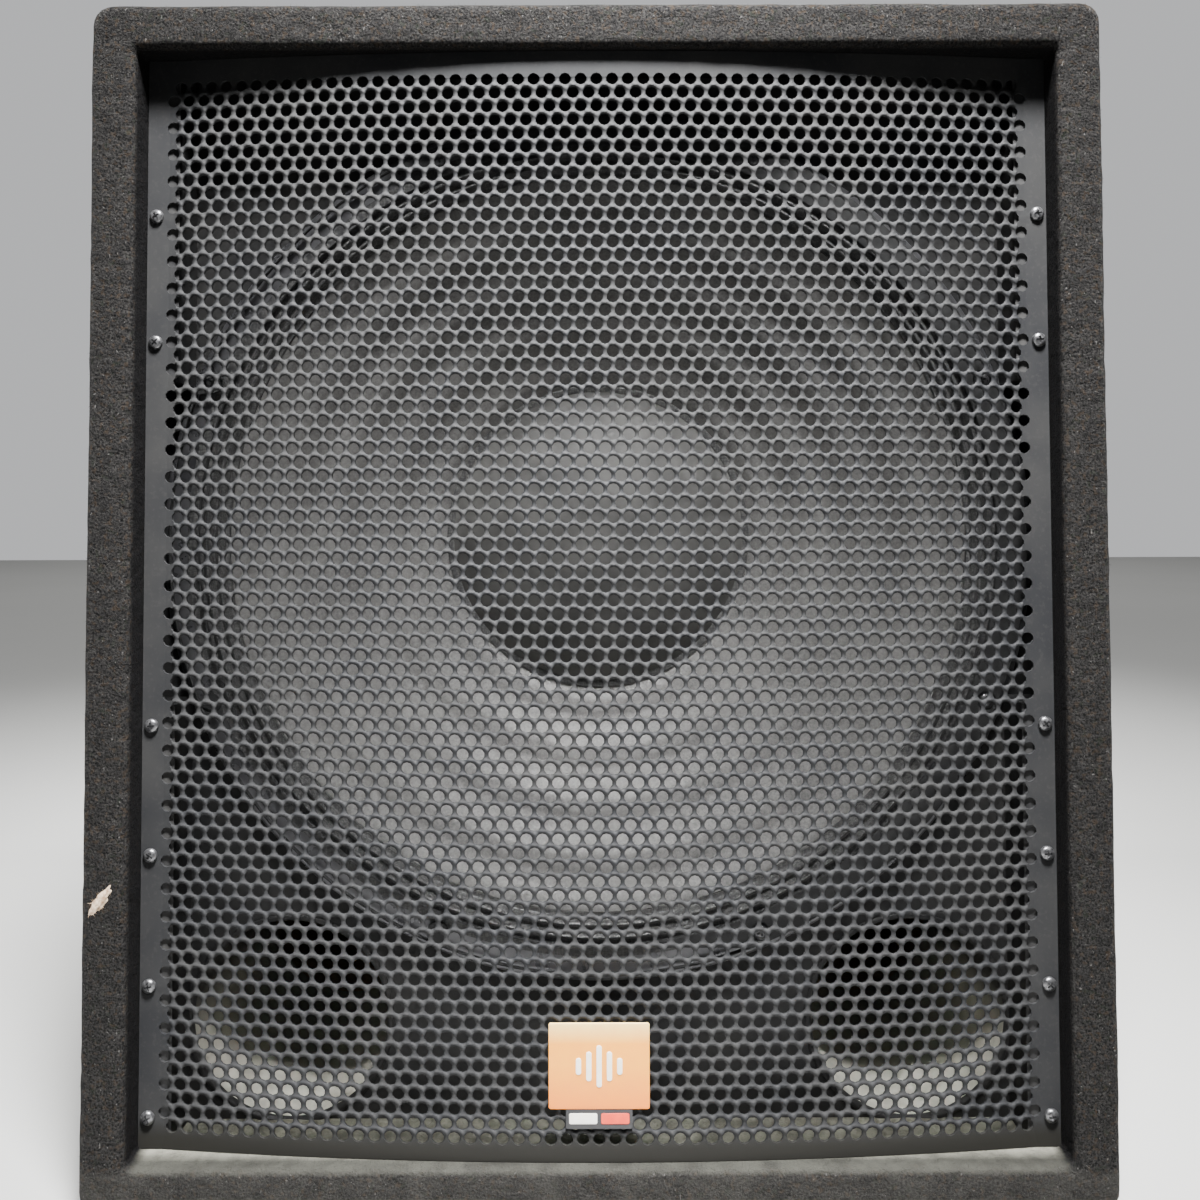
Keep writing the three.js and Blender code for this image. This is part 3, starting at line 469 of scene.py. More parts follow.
CAP_PAPER = mottled_look(
    "dust_cap_paper", (0.058, 0.057, 0.055), (0.11, 0.108, 0.104),
    size=24 * MM, rough=(0.6, 0.75), grain=1.2 * MM, depth=0.12 * MM,
)
FERRITE = mottled_look(
    "ferrite", (0.050, 0.050, 0.055), (0.095, 0.095, 0.10),
    size=6 * MM, rough=(0.55, 0.8), grain=1.4 * MM, depth=0.12 * MM,
)
COPPER = mottled_look(
    "copper_wire", (0.50, 0.20, 0.09), (0.72, 0.34, 0.17),
    size=3 * MM, rough=(0.25, 0.4), grain=0.4 * MM, depth=0.08 * MM, metallic=0.9,
)
FORMER_FILM = mottled_look(
    "former_film", (0.28, 0.14, 0.035), (0.44, 0.25, 0.08),
    size=8 * MM, rough=(0.3, 0.45), grain=1.0 * MM, depth=0.04 * MM,
)
CREAM = mottled_look(
    "emblem_cream", (0.86, 0.83, 0.74), (0.93, 0.91, 0.85),
    size=5 * MM, rough=(0.35, 0.5), grain=1.0 * MM, depth=0.03 * MM,
)
CORAL = mottled_look(
    "emblem_coral", (0.72, 0.050, 0.020), (0.82, 0.085, 0.035),
    size=5 * MM, rough=(0.35, 0.5), grain=1.0 * MM, depth=0.03 * MM,
)
TORN_FELT = mottled_look(
    "torn_felt", (0.34, 0.22, 0.13), (0.80, 0.66, 0.50),
    size=2 * MM, rough=(0.8, 1.0), grain=0.7 * MM, depth=0.4 * MM,
)
CARPET_CLOTH = carpet_look()
POWDER_COAT = powder_coat_look()
PULP = pulp_look()
DOPED_CLOTH = doped_cloth_look()
PLYWOOD = plywood_look()
WADDING = wadding_look()
PORT_BOARD = port_look()
BADGE_ENAMEL = badge_look()


# ---- Meshes ----


def shares(steps):
    """Numbers from 0 to 1 in that many even steps."""
    return [i / steps for i in range(steps + 1)]


def linked(name, data):
    """A new object of that mesh, curve, lamp or camera, in the scene."""
    obj = bpy.data.objects.new(name, data)
    bpy.context.scene.collection.objects.link(obj)
    return obj


def finished(name, mesh, look, body="cabinet", stands_for=(), sharp=38.0):
    """A smooth-shaded object from that mesh, riding on a body and standing for those CAD nodes."""
    mesh.name = name
    mesh.shade_smooth()
    mesh.set_sharp_from_angle(angle=math.radians(sharp))
    mesh.materials.append(look)
    obj = linked(name, mesh)
    if body:
        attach(obj, body)
    if stands_for:
        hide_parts(*stands_for)
    return obj


def to_mesh(bm, outward=True):
    if outward:
        bmesh.ops.recalc_face_normals(bm, faces=bm.faces)
    mesh = bpy.data.meshes.new("piece")
    bm.to_mesh(mesh)
    bm.free()
    return mesh


def joined(*meshes):
    bm = bmesh.new()
    for mesh in meshes:
        bm.from_mesh(mesh)
        bpy.data.meshes.remove(mesh)
    return to_mesh(bm, outward=False)


def placed(mesh, matrix):
    mesh.transform(matrix)
    if matrix.is_negative:
        mesh.flip_normals()
    return mesh


def applied(obj):
    """Puts the object's modifiers into its mesh."""
    graph = bpy.context.evaluated_depsgraph_get()
    mesh = bpy.data.meshes.new_from_object(obj.evaluated_get(graph))
    obj.modifiers.clear()
    obj.data = mesh
    return obj


def bridge(rings, caps=True, loop=False):
    """Skins a row of rings with the same number of points. Points that coincide are merged."""
    bm = bmesh.new()
    rows = [[bm.verts.new(point) for point in ring] for ring in rings]
    count = len(rows[0])
    pairs = list(zip(rows, rows[1:]))
    if loop:
        pairs.append((rows[-1], rows[0]))
    for near, far in pairs:
        for i in range(count):
            j = (i + 1) % count
            bm.faces.new((near[i], near[j], far[j], far[i]))
    if caps and not loop:
        bm.faces.new(rows[0])
        bm.faces.new(rows[-1])
    bmesh.ops.remove_doubles(bm, verts=bm.verts, dist=1e-6)
    return to_mesh(bm)


def rounded(points, radius, steps=3):
    """A closed outline with each corner turned into a short curve."""
    outline = []
    for i, point in enumerate(points):
        corner = Vector(point)
        before = Vector(points[i - 1]) - corner
        after = Vector(points[(i + 1) % len(points)]) - corner
        if point[0] < 1e-9:
            outline.append(tuple(corner))
            continue
        start = corner + before.normalized() * min(radius, before.length * 0.45)
        end = corner + after.normalized() * min(radius, after.length * 0.45)
        for t in shares(steps):
            outline.append(tuple(start * (1 - t) ** 2 + corner * 2 * t * (1 - t) + end * t**2))
    return outline


def turned(profile, centre, axis="Y", segments=96, loop=True):
    """A solid of revolution. Profile points are (radius, height along the axis)."""
    rings = []
    for radius, height in profile:
        points = circle(radius, centre, segments)
        rings.append([(u, height, v) if axis == "Y" else (u, v, height) for u, v in points])
    return bridge(rings, caps=False, loop=loop)


def circle(radius, centre=(0.0, 0.0), count=48):
    angles = [2 * math.pi * t for t in shares(count)[:-1]]
    return [(centre[0] + radius * math.cos(a), centre[1] + radius * math.sin(a)) for a in angles]


def rounded_rectangle(width, height, radius, centre=(0.0, 0.0), steps=6):
    points = []
    for k, (sx, sy) in enumerate(((1, 1), (-1, 1), (-1, -1), (1, -1))):
        cx = centre[0] + sx * (width / 2 - radius)
        cy = centre[1] + sy * (height / 2 - radius)
        for t in shares(steps):
            angle = (k + t) * math.pi / 2
            points.append((cx + radius * math.cos(angle), cy + radius * math.sin(angle)))
    return points


def plate(outlines, thickness, edge, matrix):
    """A flat plate with rounded edges: the first outline is its rim and the others are holes.

    It is drawn in X and Y with its middle at Z 0, then moved by the matrix.
    """
    curve = bpy.data.curves.new("outline", "CURVE")
    curve.dimensions = "2D"
    curve.fill_mode = "BOTH"
    curve.extrude = thickness / 2 - edge
    curve.bevel_depth = edge
    curve.bevel_resolution = 2
    curve.offset = -edge
    for outline in outlines:
        spline = curve.splines.new("POLY")
        spline.points.add(len(outline) - 1)
        for point, (x, y) in zip(spline.points, outline):
            point.co = (x, y, 0.0, 1.0)
        spline.use_cyclic_u = True
    obj = linked("outline", curve)
    graph = bpy.context.evaluated_depsgraph_get()
    mesh = bpy.data.meshes.new_from_object(obj.evaluated_get(graph))
    bpy.data.objects.remove(obj)
    bpy.data.curves.remove(curve)
    bm = bmesh.new()
    bm.from_mesh(mesh)
    bpy.data.meshes.remove(mesh)
    bmesh.ops.remove_doubles(bm, verts=bm.verts, dist=1e-6)
    bmesh.ops.transform(bm, matrix=matrix, verts=bm.verts)
    return to_mesh(bm)


def slab(width, height, corner, depth, edge, at, steps=6):
    """A plate that is a rounded rectangle without holes."""
    return plate([rounded_rectangle(width, height, corner, steps=steps)], depth, edge, at)


def facing(normal, up, origin):
    """The matrix that puts a plate's Z along normal and its Y along up, at origin."""
    z = Vector(normal)
    y = Vector(up)
    x = y.cross(z)
    return Matrix.Translation(origin) @ Matrix((x, y, z)).transposed().to_4x4()


def front_facing(x, y, z):
    return facing((0, -1, 0), (0, 0, 1), (x, y, z))


def rear_facing(x, y, z):
    return facing((0, 1, 0), (0, 0, 1), (x, y, z))


def side_facing(sign, x, y, z):
    return facing((sign, 0, 0), (0, 0, 1), (x, y, z))


def cut_away(obj, *cutters):
    for mesh in cutters:
        tool = linked("cutter", mesh)
        modifier = obj.modifiers.new("cut", "BOOLEAN")
        modifier.operation = "DIFFERENCE"
        modifier.solver = "EXACT"
        modifier.object = tool
        applied(obj)
        bpy.data.objects.remove(tool)
        bpy.data.meshes.remove(mesh)
    return obj


# ---- Small screws ----


def screw_head(radius, height, matrix):
    """A domed head with a cross recess: Z points out of the head, and Z 0 is its seat."""
    segments = 24
    profile = [(1.0, 0.0), (1.0, 0.35), (0.93, 0.62), (0.75, 0.85), (0.45, 0.97), (0.0, 1.0)]
    rings = [
        [(radius * r * c, radius * r * s, height * h) for c, s in circle(1.0, count=segments)]
        for r, h in profile
    ]
    head = linked("head", bridge(rings))
    long_side = radius * 1.15
    short_side = radius * 0.26
    depth = height * 0.62
    for size in ((long_side, short_side), (short_side, long_side)):
        outline = rounded_rectangle(*size, short_side * 0.3, steps=2)
        low = [(x * 0.8, y * 0.8, height - depth) for x, y in outline]
        high = [(x, y, height * 1.2) for x, y in outline]
        cut_away(head, bridge([low, high]))
    mesh = head.data
    bpy.data.objects.remove(head)
    return placed(mesh, matrix)


def add_screw(name, radius, height, at, look=BLACK_ZINC):
    finished(name, screw_head(radius, height, at), look)


def add_grille_screws():
    turn = random.Random(7)
    seat = GRILLE_FLAT_Y - 0.1 * MM
    shank_r = 1.7 * MM
    for node in SCREW_NODES:
        low, high, centre = span(node)
        spin = Matrix.Rotation(turn.uniform(0, math.pi / 2), 4, "Z")
        at = front_facing(centre.x, seat, centre.z) @ spin
        head = screw_head((high.x - low.x) / 2, seat - low.y, at)
        top = seat - 0.2 * MM
        pointed = [(0.0, high.y), (shank_r, high.y - 3 * MM), (shank_r, top), (0.0, top)]
        shank = turned(pointed, (centre.x, centre.z), segments=16, loop=False)
        finished(f"{node}_head", joined(head, shank), BLACK_ZINC, stands_for=[node])


# ---- Carpet ----


def frame_ring(half_x, low, high, corner, y, steps_x=72, steps_z=88, steps_corner=5):
    """Points round an upright rounded rectangle, evenly spaced along its sides."""
    inner_x = half_x - corner
    inner_low = low + corner
    inner_high = high - corner
    ring = []

    def side(start, end, steps):
        for t in shares(steps)[:-1]:
            ring.append((start[0] + (end[0] - start[0]) * t, y, start[1] + (end[1] - start[1]) * t))

    def turn(cx, cz, start):
        for t in shares(steps_corner)[:-1]:
            angle = math.radians(start + 90 * t)
            ring.append((cx + corner * math.cos(angle), y, cz + corner * math.sin(angle)))

    side((-inner_x, low), (inner_x, low), steps_x)
    turn(inner_x, inner_low, -90)
    side((half_x, inner_low), (half_x, inner_high), steps_z)
    turn(inner_x, inner_high, 0)
    side((inner_x, high), (-inner_x, high), steps_x)
    turn(-inner_x, inner_high, 90)
    side((-half_x, inner_high), (-half_x, inner_low), steps_z)
    turn(-inner_x, inner_low, 180)
    return ring


def wrap_ring(outset, y):
    """A ring round the opening where outset is 0, round the outer faces where it is 1, or between."""
    half_x = OPENING_X + (HALF_WIDTH - OPENING_X) * outset
    low = OPENING_LOW + (BODY_BOTTOM - OPENING_LOW) * outset
    high = OPENING_HIGH + (BODY_TOP - OPENING_HIGH) * outset
    corner = LINING_TURN + (LONG_EDGE_TURN - LINING_TURN) * outset
    return frame_ring(half_x, low, high, corner, y)


def quarter_turn(steps):
    """The cosine and the sine at even steps through a quarter of a circle."""
    angles = [math.pi / 2 * t for t in shares(steps)]
    return [(math.cos(angle), math.sin(angle)) for angle in angles]


def carpet_rings():
    """From the baffle, out over the rounded front lip, back along the outside and over the rear."""
    lip = HALF_WIDTH - OPENING_X
    rings = []
    lining = FRONT + LIP_INNER_TURN - BAFFLE_FRONT
    for t in shares(steps=9)[:-1]:
        rings.append(wrap_ring(0, BAFFLE_FRONT + lining * t))
    for c, s in quarter_turn(4):
        rings.append(wrap_ring(LIP_INNER_TURN * (1 - c) / lip, FRONT + LIP_INNER_TURN * (1 - s)))
    for t in shares(steps=3)[1:-1]:
        across = LIP_INNER_TURN + (lip - LIP_INNER_TURN - LIP_OUTER_TURN) * t
        rings.append(wrap_ring(across / lip, FRONT))
    for c, s in quarter_turn(5):
        rings.append(wrap_ring(1 - LIP_OUTER_TURN * (1 - s) / lip, FRONT + LIP_OUTER_TURN * (1 - c)))
    length = REAR - REAR_TURN - FRONT - LIP_OUTER_TURN
    for t in shares(steps=90)[1:-1]:
        rings.append(wrap_ring(1, FRONT + LIP_OUTER_TURN + length * t))
    for c, s in quarter_turn(4):
        rings.append(wrap_ring(1 - REAR_TURN * (1 - c) / lip, REAR - REAR_TURN * (1 - s)))
    return rings


def rear_rings(y, first, steps):
    """Rings that close the rear face towards its middle, from half sizes first to almost a point."""
    smallest = 0.02 * MM
    centre_z = (BODY_BOTTOM + BODY_TOP) / 2
    rings = []
    for t in shares(steps)[1:]:
        keep = 1 - t
        half_x = max(first[0] * keep, smallest)
        half_z = max(first[1] * keep, smallest)
        corner = min(6 * MM * keep, half_x * 0.5, half_z * 0.5)
        rings.append(frame_ring(half_x, centre_z - half_z, centre_z + half_z, corner, y))
    return rings


def carpet_shell():
    """The closed skin of the covering: outer pile, and a smooth back against the boards."""
    half_z = (BODY_TOP - BODY_BOTTOM) / 2
    back_y = REAR - CARPET
    glued_y = FRONT + CARPET
    outer = carpet_rings()
    outer += rear_rings(REAR, (HALF_WIDTH - REAR_TURN, half_z - REAR_TURN), steps=44)
    backing = list(reversed(rear_rings(back_y, (HALF_WIDTH - CARPET, half_z - CARPET), steps=6)))
    for inset, y in ((0.0, back_y), (0.0, FRONT + 8 * MM), (4 * MM, glued_y)):
        out = CARPET + inset
        backing.append(frame_ring(HALF_WIDTH - out, BODY_BOTTOM + out, BODY_TOP - out, 7 * MM, y))
    for inset, y in ((3 * MM, glued_y), (0.0, FRONT + 5 * MM), (0.0, BAFFLE_FRONT)):
        out = CARPET + inset
        backing.append(frame_ring(OPENING_X + out, OPENING_LOW - out, OPENING_HIGH + out, 3 * MM, y))
    return bridge(outer + backing, caps=False, loop=True)


def flange_turn(corner, rim):
    """The outer corner radius of a flange of that width round a mouth with that corner radius."""
    return corner + rim * 0.4


def flange_outline(width, height, mouth, corner):
    """An outline just inside the rim of a flange of that size, which hides the edge of the opening."""
    turn = flange_turn(corner, (width - mouth[0]) / 2)
    return rounded_rectangle(width - 2 * FLANGE_GRIP, height - 2 * FLANGE_GRIP, turn, steps=8)


def carpet_cutters():
    """The openings of the handles, the input dish and the pole socket, which grip the carpet's edge."""
    depth = 9 * MM
    bevel = 0.1 * MM
    openings = []
    for side, sign in SIDES:
        low, high, centre = span(f"{side}_handle_cup")
        outline = flange_outline(high.y - low.y, high.z - low.z, HANDLE_MOUTH, HANDLE_TURN)
        openings.append((outline, side_facing(sign, sign * HALF_WIDTH, centre.y, centre.z)))
    low, high, centre = span("input_dish")
    outline = flange_outline(high.x - low.x, high.z - low.z, DISH_MOUTH, DISH_TURN)
    openings.append((outline, rear_facing(centre.x, REAR, centre.z)))
    low, high, centre = span("pole_socket")
    hole = circle((high.x - low.x) / 2 - FLANGE_GRIP, count=96)
    openings.append((hole, facing((0, 0, 1), (0, 1, 0), (centre.x, centre.y, BODY_TOP))))
    return [plate([outline], depth, bevel, at) for outline, at in openings]


def add_carpet():
    shell = linked("shell", carpet_shell())
    roughen_pile(shell.data)
    cut_away(shell, *carpet_cutters())
    skin = shell.data
    bpy.data.objects.remove(shell)
    covering = joined(skin, hairs(skin, pile_weight, LOOSE_HAIRS, HAIR_LENGTH))
    nodes = ["carpet_wrap", "rear_carpet"]
    finished("carpet_covering", covering, CARPET_CLOTH, stands_for=nodes, sharp=60.0)
    add_torn_spot()


def on_skin(point):
    """Whether a point of the covering is on its visible outside and not against the boards."""
    depth = CARPET - 0.1 * MM
    return (
        abs(point.x) > HALF_WIDTH - depth
        or point.z > BODY_TOP - depth
        or point.z < BODY_BOTTOM + depth
        or point.y < FRONT + depth
        or point.y > REAR - depth
    )


def roughen_pile(mesh):
    """Presses the pile in and out a little, as worn felt over wood is, without growing the cabinet."""
    normals = [vertex.normal.copy() for vertex in mesh.vertices]
    for vertex, normal in zip(mesh.vertices, normals):
        if not on_skin(vertex.co):
            continue
        rise = 0.0
        for frequency, shift, height in PILE_WAVES:
            rise += noise.noise(vertex.co * frequency + Vector(shift)) * height
        vertex.co += normal * (rise - PILE_SINK) * MM


def pile_weight(point):
    """How thickly loose hairs stand at a point of the carpet: mostly along the front lip."""
    if not on_skin(point):
        return 0.0
    return LIP_HAIR_WEIGHT if point.y < FRONT + LIP_HAIR_DEPTH else 1.0


def hairs(mesh, weight_at, count, longest):
    """Thin loose fibres that lean off a mesh, each a slender three-sided spike."""
    chance = random.Random(23)
    mesh.calc_loop_triangles()
    spots = []
    weights = []
    for triangle in mesh.loop_triangles:
        corners = [mesh.vertices[i].co for i in triangle.vertices]
        weight = weight_at(sum(corners, Vector()) / 3)
        if weight > 0:
            spots.append((corners, triangle.normal.copy()))
            weights.append(weight * triangle.area)
    verts = []
    faces = []
    spike = ((0, 1, 3), (1, 2, 3), (2, 0, 3), (0, 2, 1))
    for (a, b, c), normal in chance.choices(spots, weights, k=count):
        u, v = sorted((chance.random(), chance.random()))
        root = a * u + b * (v - u) + c * (1 - v) - normal * 0.1 * MM
        drift = Vector([chance.gauss(0, 1) for _ in range(3)])
        lean = (normal * chance.uniform(0.4, 1.3) + drift * 0.6).normalized()
        across = lean.orthogonal().normalized() * HAIR_R
        first = len(verts)
        for k in range(3):
            verts.append(root + Matrix.Rotation(2 * math.pi * k / 3, 3, lean) @ across)
        verts.append(root + lean * longest * chance.uniform(0.35, 1.0))
        faces += [(first + i, first + j, first + k) for i, j, k in spike]
    fibres = bpy.data.meshes.new("hairs")
    fibres.from_pydata(verts, [], faces)
    return fibres


def even_weight(_):
    return 1.0


def add_torn_spot():
    """A worn spot on the left front edge, where tan felt has frayed out of the carpet."""
    centre = Vector((-HALF_WIDTH + 10 * MM, FRONT, TORN_SPOT_Z))
    lean = Matrix.Rotation(math.radians(36), 3, "Y")
    bm = bmesh.new()
    bmesh.ops.create_icosphere(bm, subdivisions=4, radius=1.0)
    for vertex in bm.verts:
        swell = 1 + 0.5 * noise.noise(vertex.co * 2.3)
        spot = Vector([part * size for part, size in zip(vertex.co, TORN_SPOT_SIZE)])
        vertex.co = centre + lean @ spot * swell * MM
    lump = to_mesh(bm)
    mesh = joined(lump, hairs(lump, even_weight, TORN_HAIRS, TORN_HAIR_LENGTH))
    finished("torn_carpet_spot", mesh, TORN_FELT, sharp=60.0)


# ---- Perforated grille ----


def grille_y(x):
    """The front face of the sheet: two flat flanges and a shallow arc between them."""
    if abs(x) >= GRILLE_BEND_X:
        return GRILLE_FLAT_Y
    radius = (GRILLE_BEND_X**2 + GRILLE_BOW**2) / (2 * GRILLE_BOW)
    return GRILLE_FLAT_Y - GRILLE_BOW + radius - math.sqrt(radius**2 - x**2)


def hole_rows():
    """The centres of the holes, row by row from the bottom."""
    first_z = (GRILLE_LOW.z + GRILLE_HIGH.z) / 2 - HOLE_ROW_PITCH * (HOLE_ROWS - 1) / 2
    first_z += HOLES_RISE
    rows = []
    for j in range(HOLE_ROWS):
        count = HOLES_IN_FIRST_ROW + j % 2
        start = -HOLE_PITCH * (count - 1) / 2
        rows.append([(start + HOLE_PITCH * i, first_z + HOLE_ROW_PITCH * j) for i in range(count)])
    return rows


def grille_sheet():
    """The front face of the sheet as a flat mesh, before it is bowed.

    Each hole is a ten-sided ring, and its corners are kept by their angles, 18, 54, 90 ... 342 degrees.
    The web between neighbouring holes is one face between two holes of a row, and one face for each
    three holes of neighbouring rows.
    """
    bm = bmesh.new()
    rims = []
    rim_edges = set()
    for row in hole_rows():
        rings = [hole_ring(bm, x, z) for x, z in row]
        for ring in rings:
            corners = list(ring.values())
            for a, b in zip(corners, corners[1:] + corners[:1]):
                rim_edges.add(bm.edges.new((a, b)))
        rims.append(rings)
    for row in rims:
        for a, b in zip(row, row[1:]):
            bm.faces.new((a[18], b[162], b[198], a[342]))
    for lower, upper in zip(rims, rims[1:]):
        upper_is_wider = len(upper) > len(lower)
        for i in range(len(lower) - 1):
            a, b = lower[i], lower[i + 1]
            c = upper[i + 1] if upper_is_wider else upper[i]
            bm.faces.new((a[18], b[162], b[126], c[306], c[270], c[234], a[54]))
        for i in range(len(upper) - 1):
            d, c = upper[i], upper[i + 1]
            a = lower[i] if upper_is_wider else lower[i + 1]
            bm.faces.new((d[342], c[198], c[234], a[54], a[90], a[126], d[306]))
    fill_margins(bm, rim_edges)
    return bm


def hole_ring(bm, x, z):
    ring = {}
    for i in range(HOLE_SIDES):
        degrees = 18 + 360 // HOLE_SIDES * i
        angle = math.radians(degrees)
        ring[degrees] = bm.verts.new((x + HOLE_R * math.cos(angle), 0.0, z + HOLE_R * math.sin(angle)))
    return ring


def fill_margins(bm, rim_edges):
    """Plain sheet from the outermost holes to the edges, with the screw holes left open."""
    edges = []
    for edge in bm.edges:
        wanted = 0 if edge in rim_edges else 1
        if len(edge.link_faces) == wanted:
            edges.append(edge)
    outlines = [sheet_outline()]
    for node in SCREW_NODES:
        centre = middle(node)
        outlines.append(circle(SCREW_HOLE_R, (centre.x, centre.z), 16))
    for outline in outlines:
        verts = [bm.verts.new((x, 0.0, z)) for x, z in outline]
        for a, b in zip(verts, verts[1:] + verts[:1]):
            edges.append(bm.edges.new((a, b)))
    known = set(bm.faces)
    bmesh.ops.triangle_fill(bm, edges=edges, use_beauty=True)
    for face in bm.faces:
        face.smooth = face in known


def sheet_outline():
    """The rim of the sheet, with points close enough together to follow the bow."""
    xs = [GRILLE_LOW.x + (GRILLE_HIGH.x - GRILLE_LOW.x) * t for t in shares(steps=40)]
    bottom = [(x, GRILLE_LOW.z) for x in xs]
    top = [(x, GRILLE_HIGH.z) for x in reversed(xs)]
    return bottom + top


def add_grille():
    bm = grille_sheet()
    for vertex in bm.verts:
        vertex.co.y = grille_y(vertex.co.x)
    for face in bm.faces:
        if face.normal.y > 0:
            face.normal_flip()
    bm.normal_update()
    mesh = bpy.data.meshes.new("perforated_grille")
    bm.to_mesh(mesh)
    bm.free()
    mesh.materials.append(POWDER_COAT)
    obj = linked("perforated_grille", mesh)
    solid = obj.modifiers.new("sheet", "SOLIDIFY")
    solid.thickness = GRILLE_SHEET
    solid.offset = -1.0
    solid.use_even_offset = False
    applied(obj)
    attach(obj, "cabinet")
    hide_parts("grille")


# ---- Badge ----


def add_badge():
    """An enamel plate with five plain bars, over a dark strip with a cream and a coral bar."""
    low, high, centre = span("badge")
    width = high.x - low.x
    strip_height = 9 * MM
    enamel_height = high.z - low.z - strip_height
    enamel_z = high.z - enamel_height / 2
    raised = low.y + 0.35 * MM
    depth = high.y - raised
    at = front_facing(centre.x, raised + depth / 2, enamel_z)
    enamel = slab(width, enamel_height, 1.2 * MM, depth, 0.3 * MM, at)
    finished("badge_plate", enamel, BADGE_ENAMEL, stands_for=["badge"])
    strip_width = width * 0.66
    strip_z = low.z + strip_height / 2
    strip_depth = depth * 0.8
    at = front_facing(centre.x, high.y - strip_depth / 2, strip_z)
    strip = slab(strip_width, strip_height + 1 * MM, 1 * MM, strip_depth, 0.2 * MM, at)
    finished("badge_strip", strip, PLASTIC)
    bars = (("badge_bar_cream", -0.24, CREAM), ("badge_bar_coral", 0.24, CORAL))
    for name, offset, look in bars:
        at = front_facing(centre.x + offset * strip_width, high.y - strip_depth - 0.1 * MM, strip_z)
        bar = slab(strip_width * 0.42, strip_height * 0.56, 0.8 * MM, 0.3 * MM, 0.1 * MM, at)
        finished(name, bar, look)
    bar_pitch = 5 * MM
    emblem = []
    for step, height in zip(range(-2, 3), (8, 14, 20, 14, 8)):
        at = front_facing(centre.x + step * bar_pitch, raised - 0.1 * MM, enamel_z)
        emblem.append(slab(2.6 * MM, height * MM, 1.2 * MM, 0.4 * MM, 0.12 * MM, at))
    finished("badge_emblem", joined(*emblem), CREAM)


# ---- Driver ----


def sheet_section(front, thickness):
    """The closed section of a sheet: its front face, and its back face that far behind."""
    return front + [(r, y + thickness) for r, y in reversed(front)]


def cone_y(r):
    """The cone's front face: a straight flare with a slight belly, broad shallow steps and fine ribs."""
    inset = CONE_R - r
    straight = CONE_EDGE_Y + inset * CONE_SLOPE
    belly = 3 * MM * math.sin(math.pi * inset / (CONE_R - CONE_NECK_R))
    steps = 1.1 * MM * math.cos(2 * math.pi * inset / (25 * MM))
    ribs = 0.12 * MM * math.cos(2 * math.pi * inset / (6.25 * MM))
    fade = min(1.0, inset / (6 * MM))
    return straight + belly - (steps + ribs) * fade


def add_cone():
    radii = [CONE_R - (CONE_R - CONE_NECK_R) * t for t in shares(steps=190)]
    front = [(r, max(cone_y(r), CONE_EDGE_Y)) for r in radii]
    shape = turned(sheet_section(front, 1.6 * MM), DRIVER_AXIS, segments=160)
    finished("ribbed_cone", shape, PULP, "cone_assembly", ["cone"])


def add_dust_cap():
    """A dome that is part of a sphere, on a bead of glue."""
    low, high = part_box("dust_cap")
    edge_r = high.x
    rise = (high.y - low.y) * 0.97
    base = high.y - 0.4 * MM
    radius = (edge_r**2 + rise**2) / (2 * rise)
    outer = []
    for t in shares(steps=36):
        r = edge_r * t
        outer.append((r, base - rise + radius - math.sqrt(radius**2 - r**2)))
    inner = [(r * 0.985, y + 1.0 * MM) for r, y in reversed(outer)]
    cap = turned(outer + inner, DRIVER_AXIS, segments=128, loop=False)
    bead = [
        (edge_r - 1 * MM, base - 1 * MM),
        (edge_r + 3 * MM, base - 1 * MM),
        (edge_r + 3.5 * MM, base + 1.2 * MM),
        (edge_r - 1 * MM, base + 1.2 * MM),
    ]
    glue = turned(rounded(bead, 1 * MM), DRIVER_AXIS, segments=128)
    finished("domed_dust_cap", cap, CAP_PAPER, "cone_assembly", ["dust_cap"])
    finished("dust_cap_glue_bead", glue, DOPED_CLOTH, "cone_assembly")


def weigh_radially(obj, moving_r, still_r):
    """Makes the blend follow the cone inside moving_r and the cabinet outside still_r."""
    weights = obj.data.attributes["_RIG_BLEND"].data
    for vertex, weight in zip(obj.data.vertices, weights):
        r = math.hypot(vertex.co.x - DRIVER_AXIS[0], vertex.co.z - DRIVER_AXIS[1])
        t = min(1.0, max(0.0, (still_r - r) / (still_r - moving_r)))
        weight.value = t * t * (3 - 2 * t)


def add_surround():
    """A doped cloth surround with two low rolls, glued under the gasket at its rim."""
    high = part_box("surround")[1]
    flap_y = high.y - 4.4 * MM
    seat_y = CONE_EDGE_Y - 1 * MM
    roll_start = 195 * MM
    roll_end = 206 * MM
    roll_height = 3.4 * MM
    front = [(CONE_R + 0.3 * MM, seat_y)]
    for t in shares(steps=40):
        r = roll_start + (roll_end - roll_start) * t
        base = seat_y + (flap_y - CONE_EDGE_Y) * t
        front.append((r, base - roll_height * math.sin(2 * math.pi * t) ** 2))
    front.append((high.x, flap_y - 0.9 * MM))
    shape = turned(sheet_section(front, 0.8 * MM), DRIVER_AXIS, segments=160)
    roll = finished("rolled_surround", shape, DOPED_CLOTH, None, ["surround"], sharp=80.0)
    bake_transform(roll, "cabinet", "cone_assembly", (0, flap_y, DRIVER_Z), (0, flap_y + 0.01, DRIVER_Z))
    weigh_radially(roll, roll_start, roll_end)


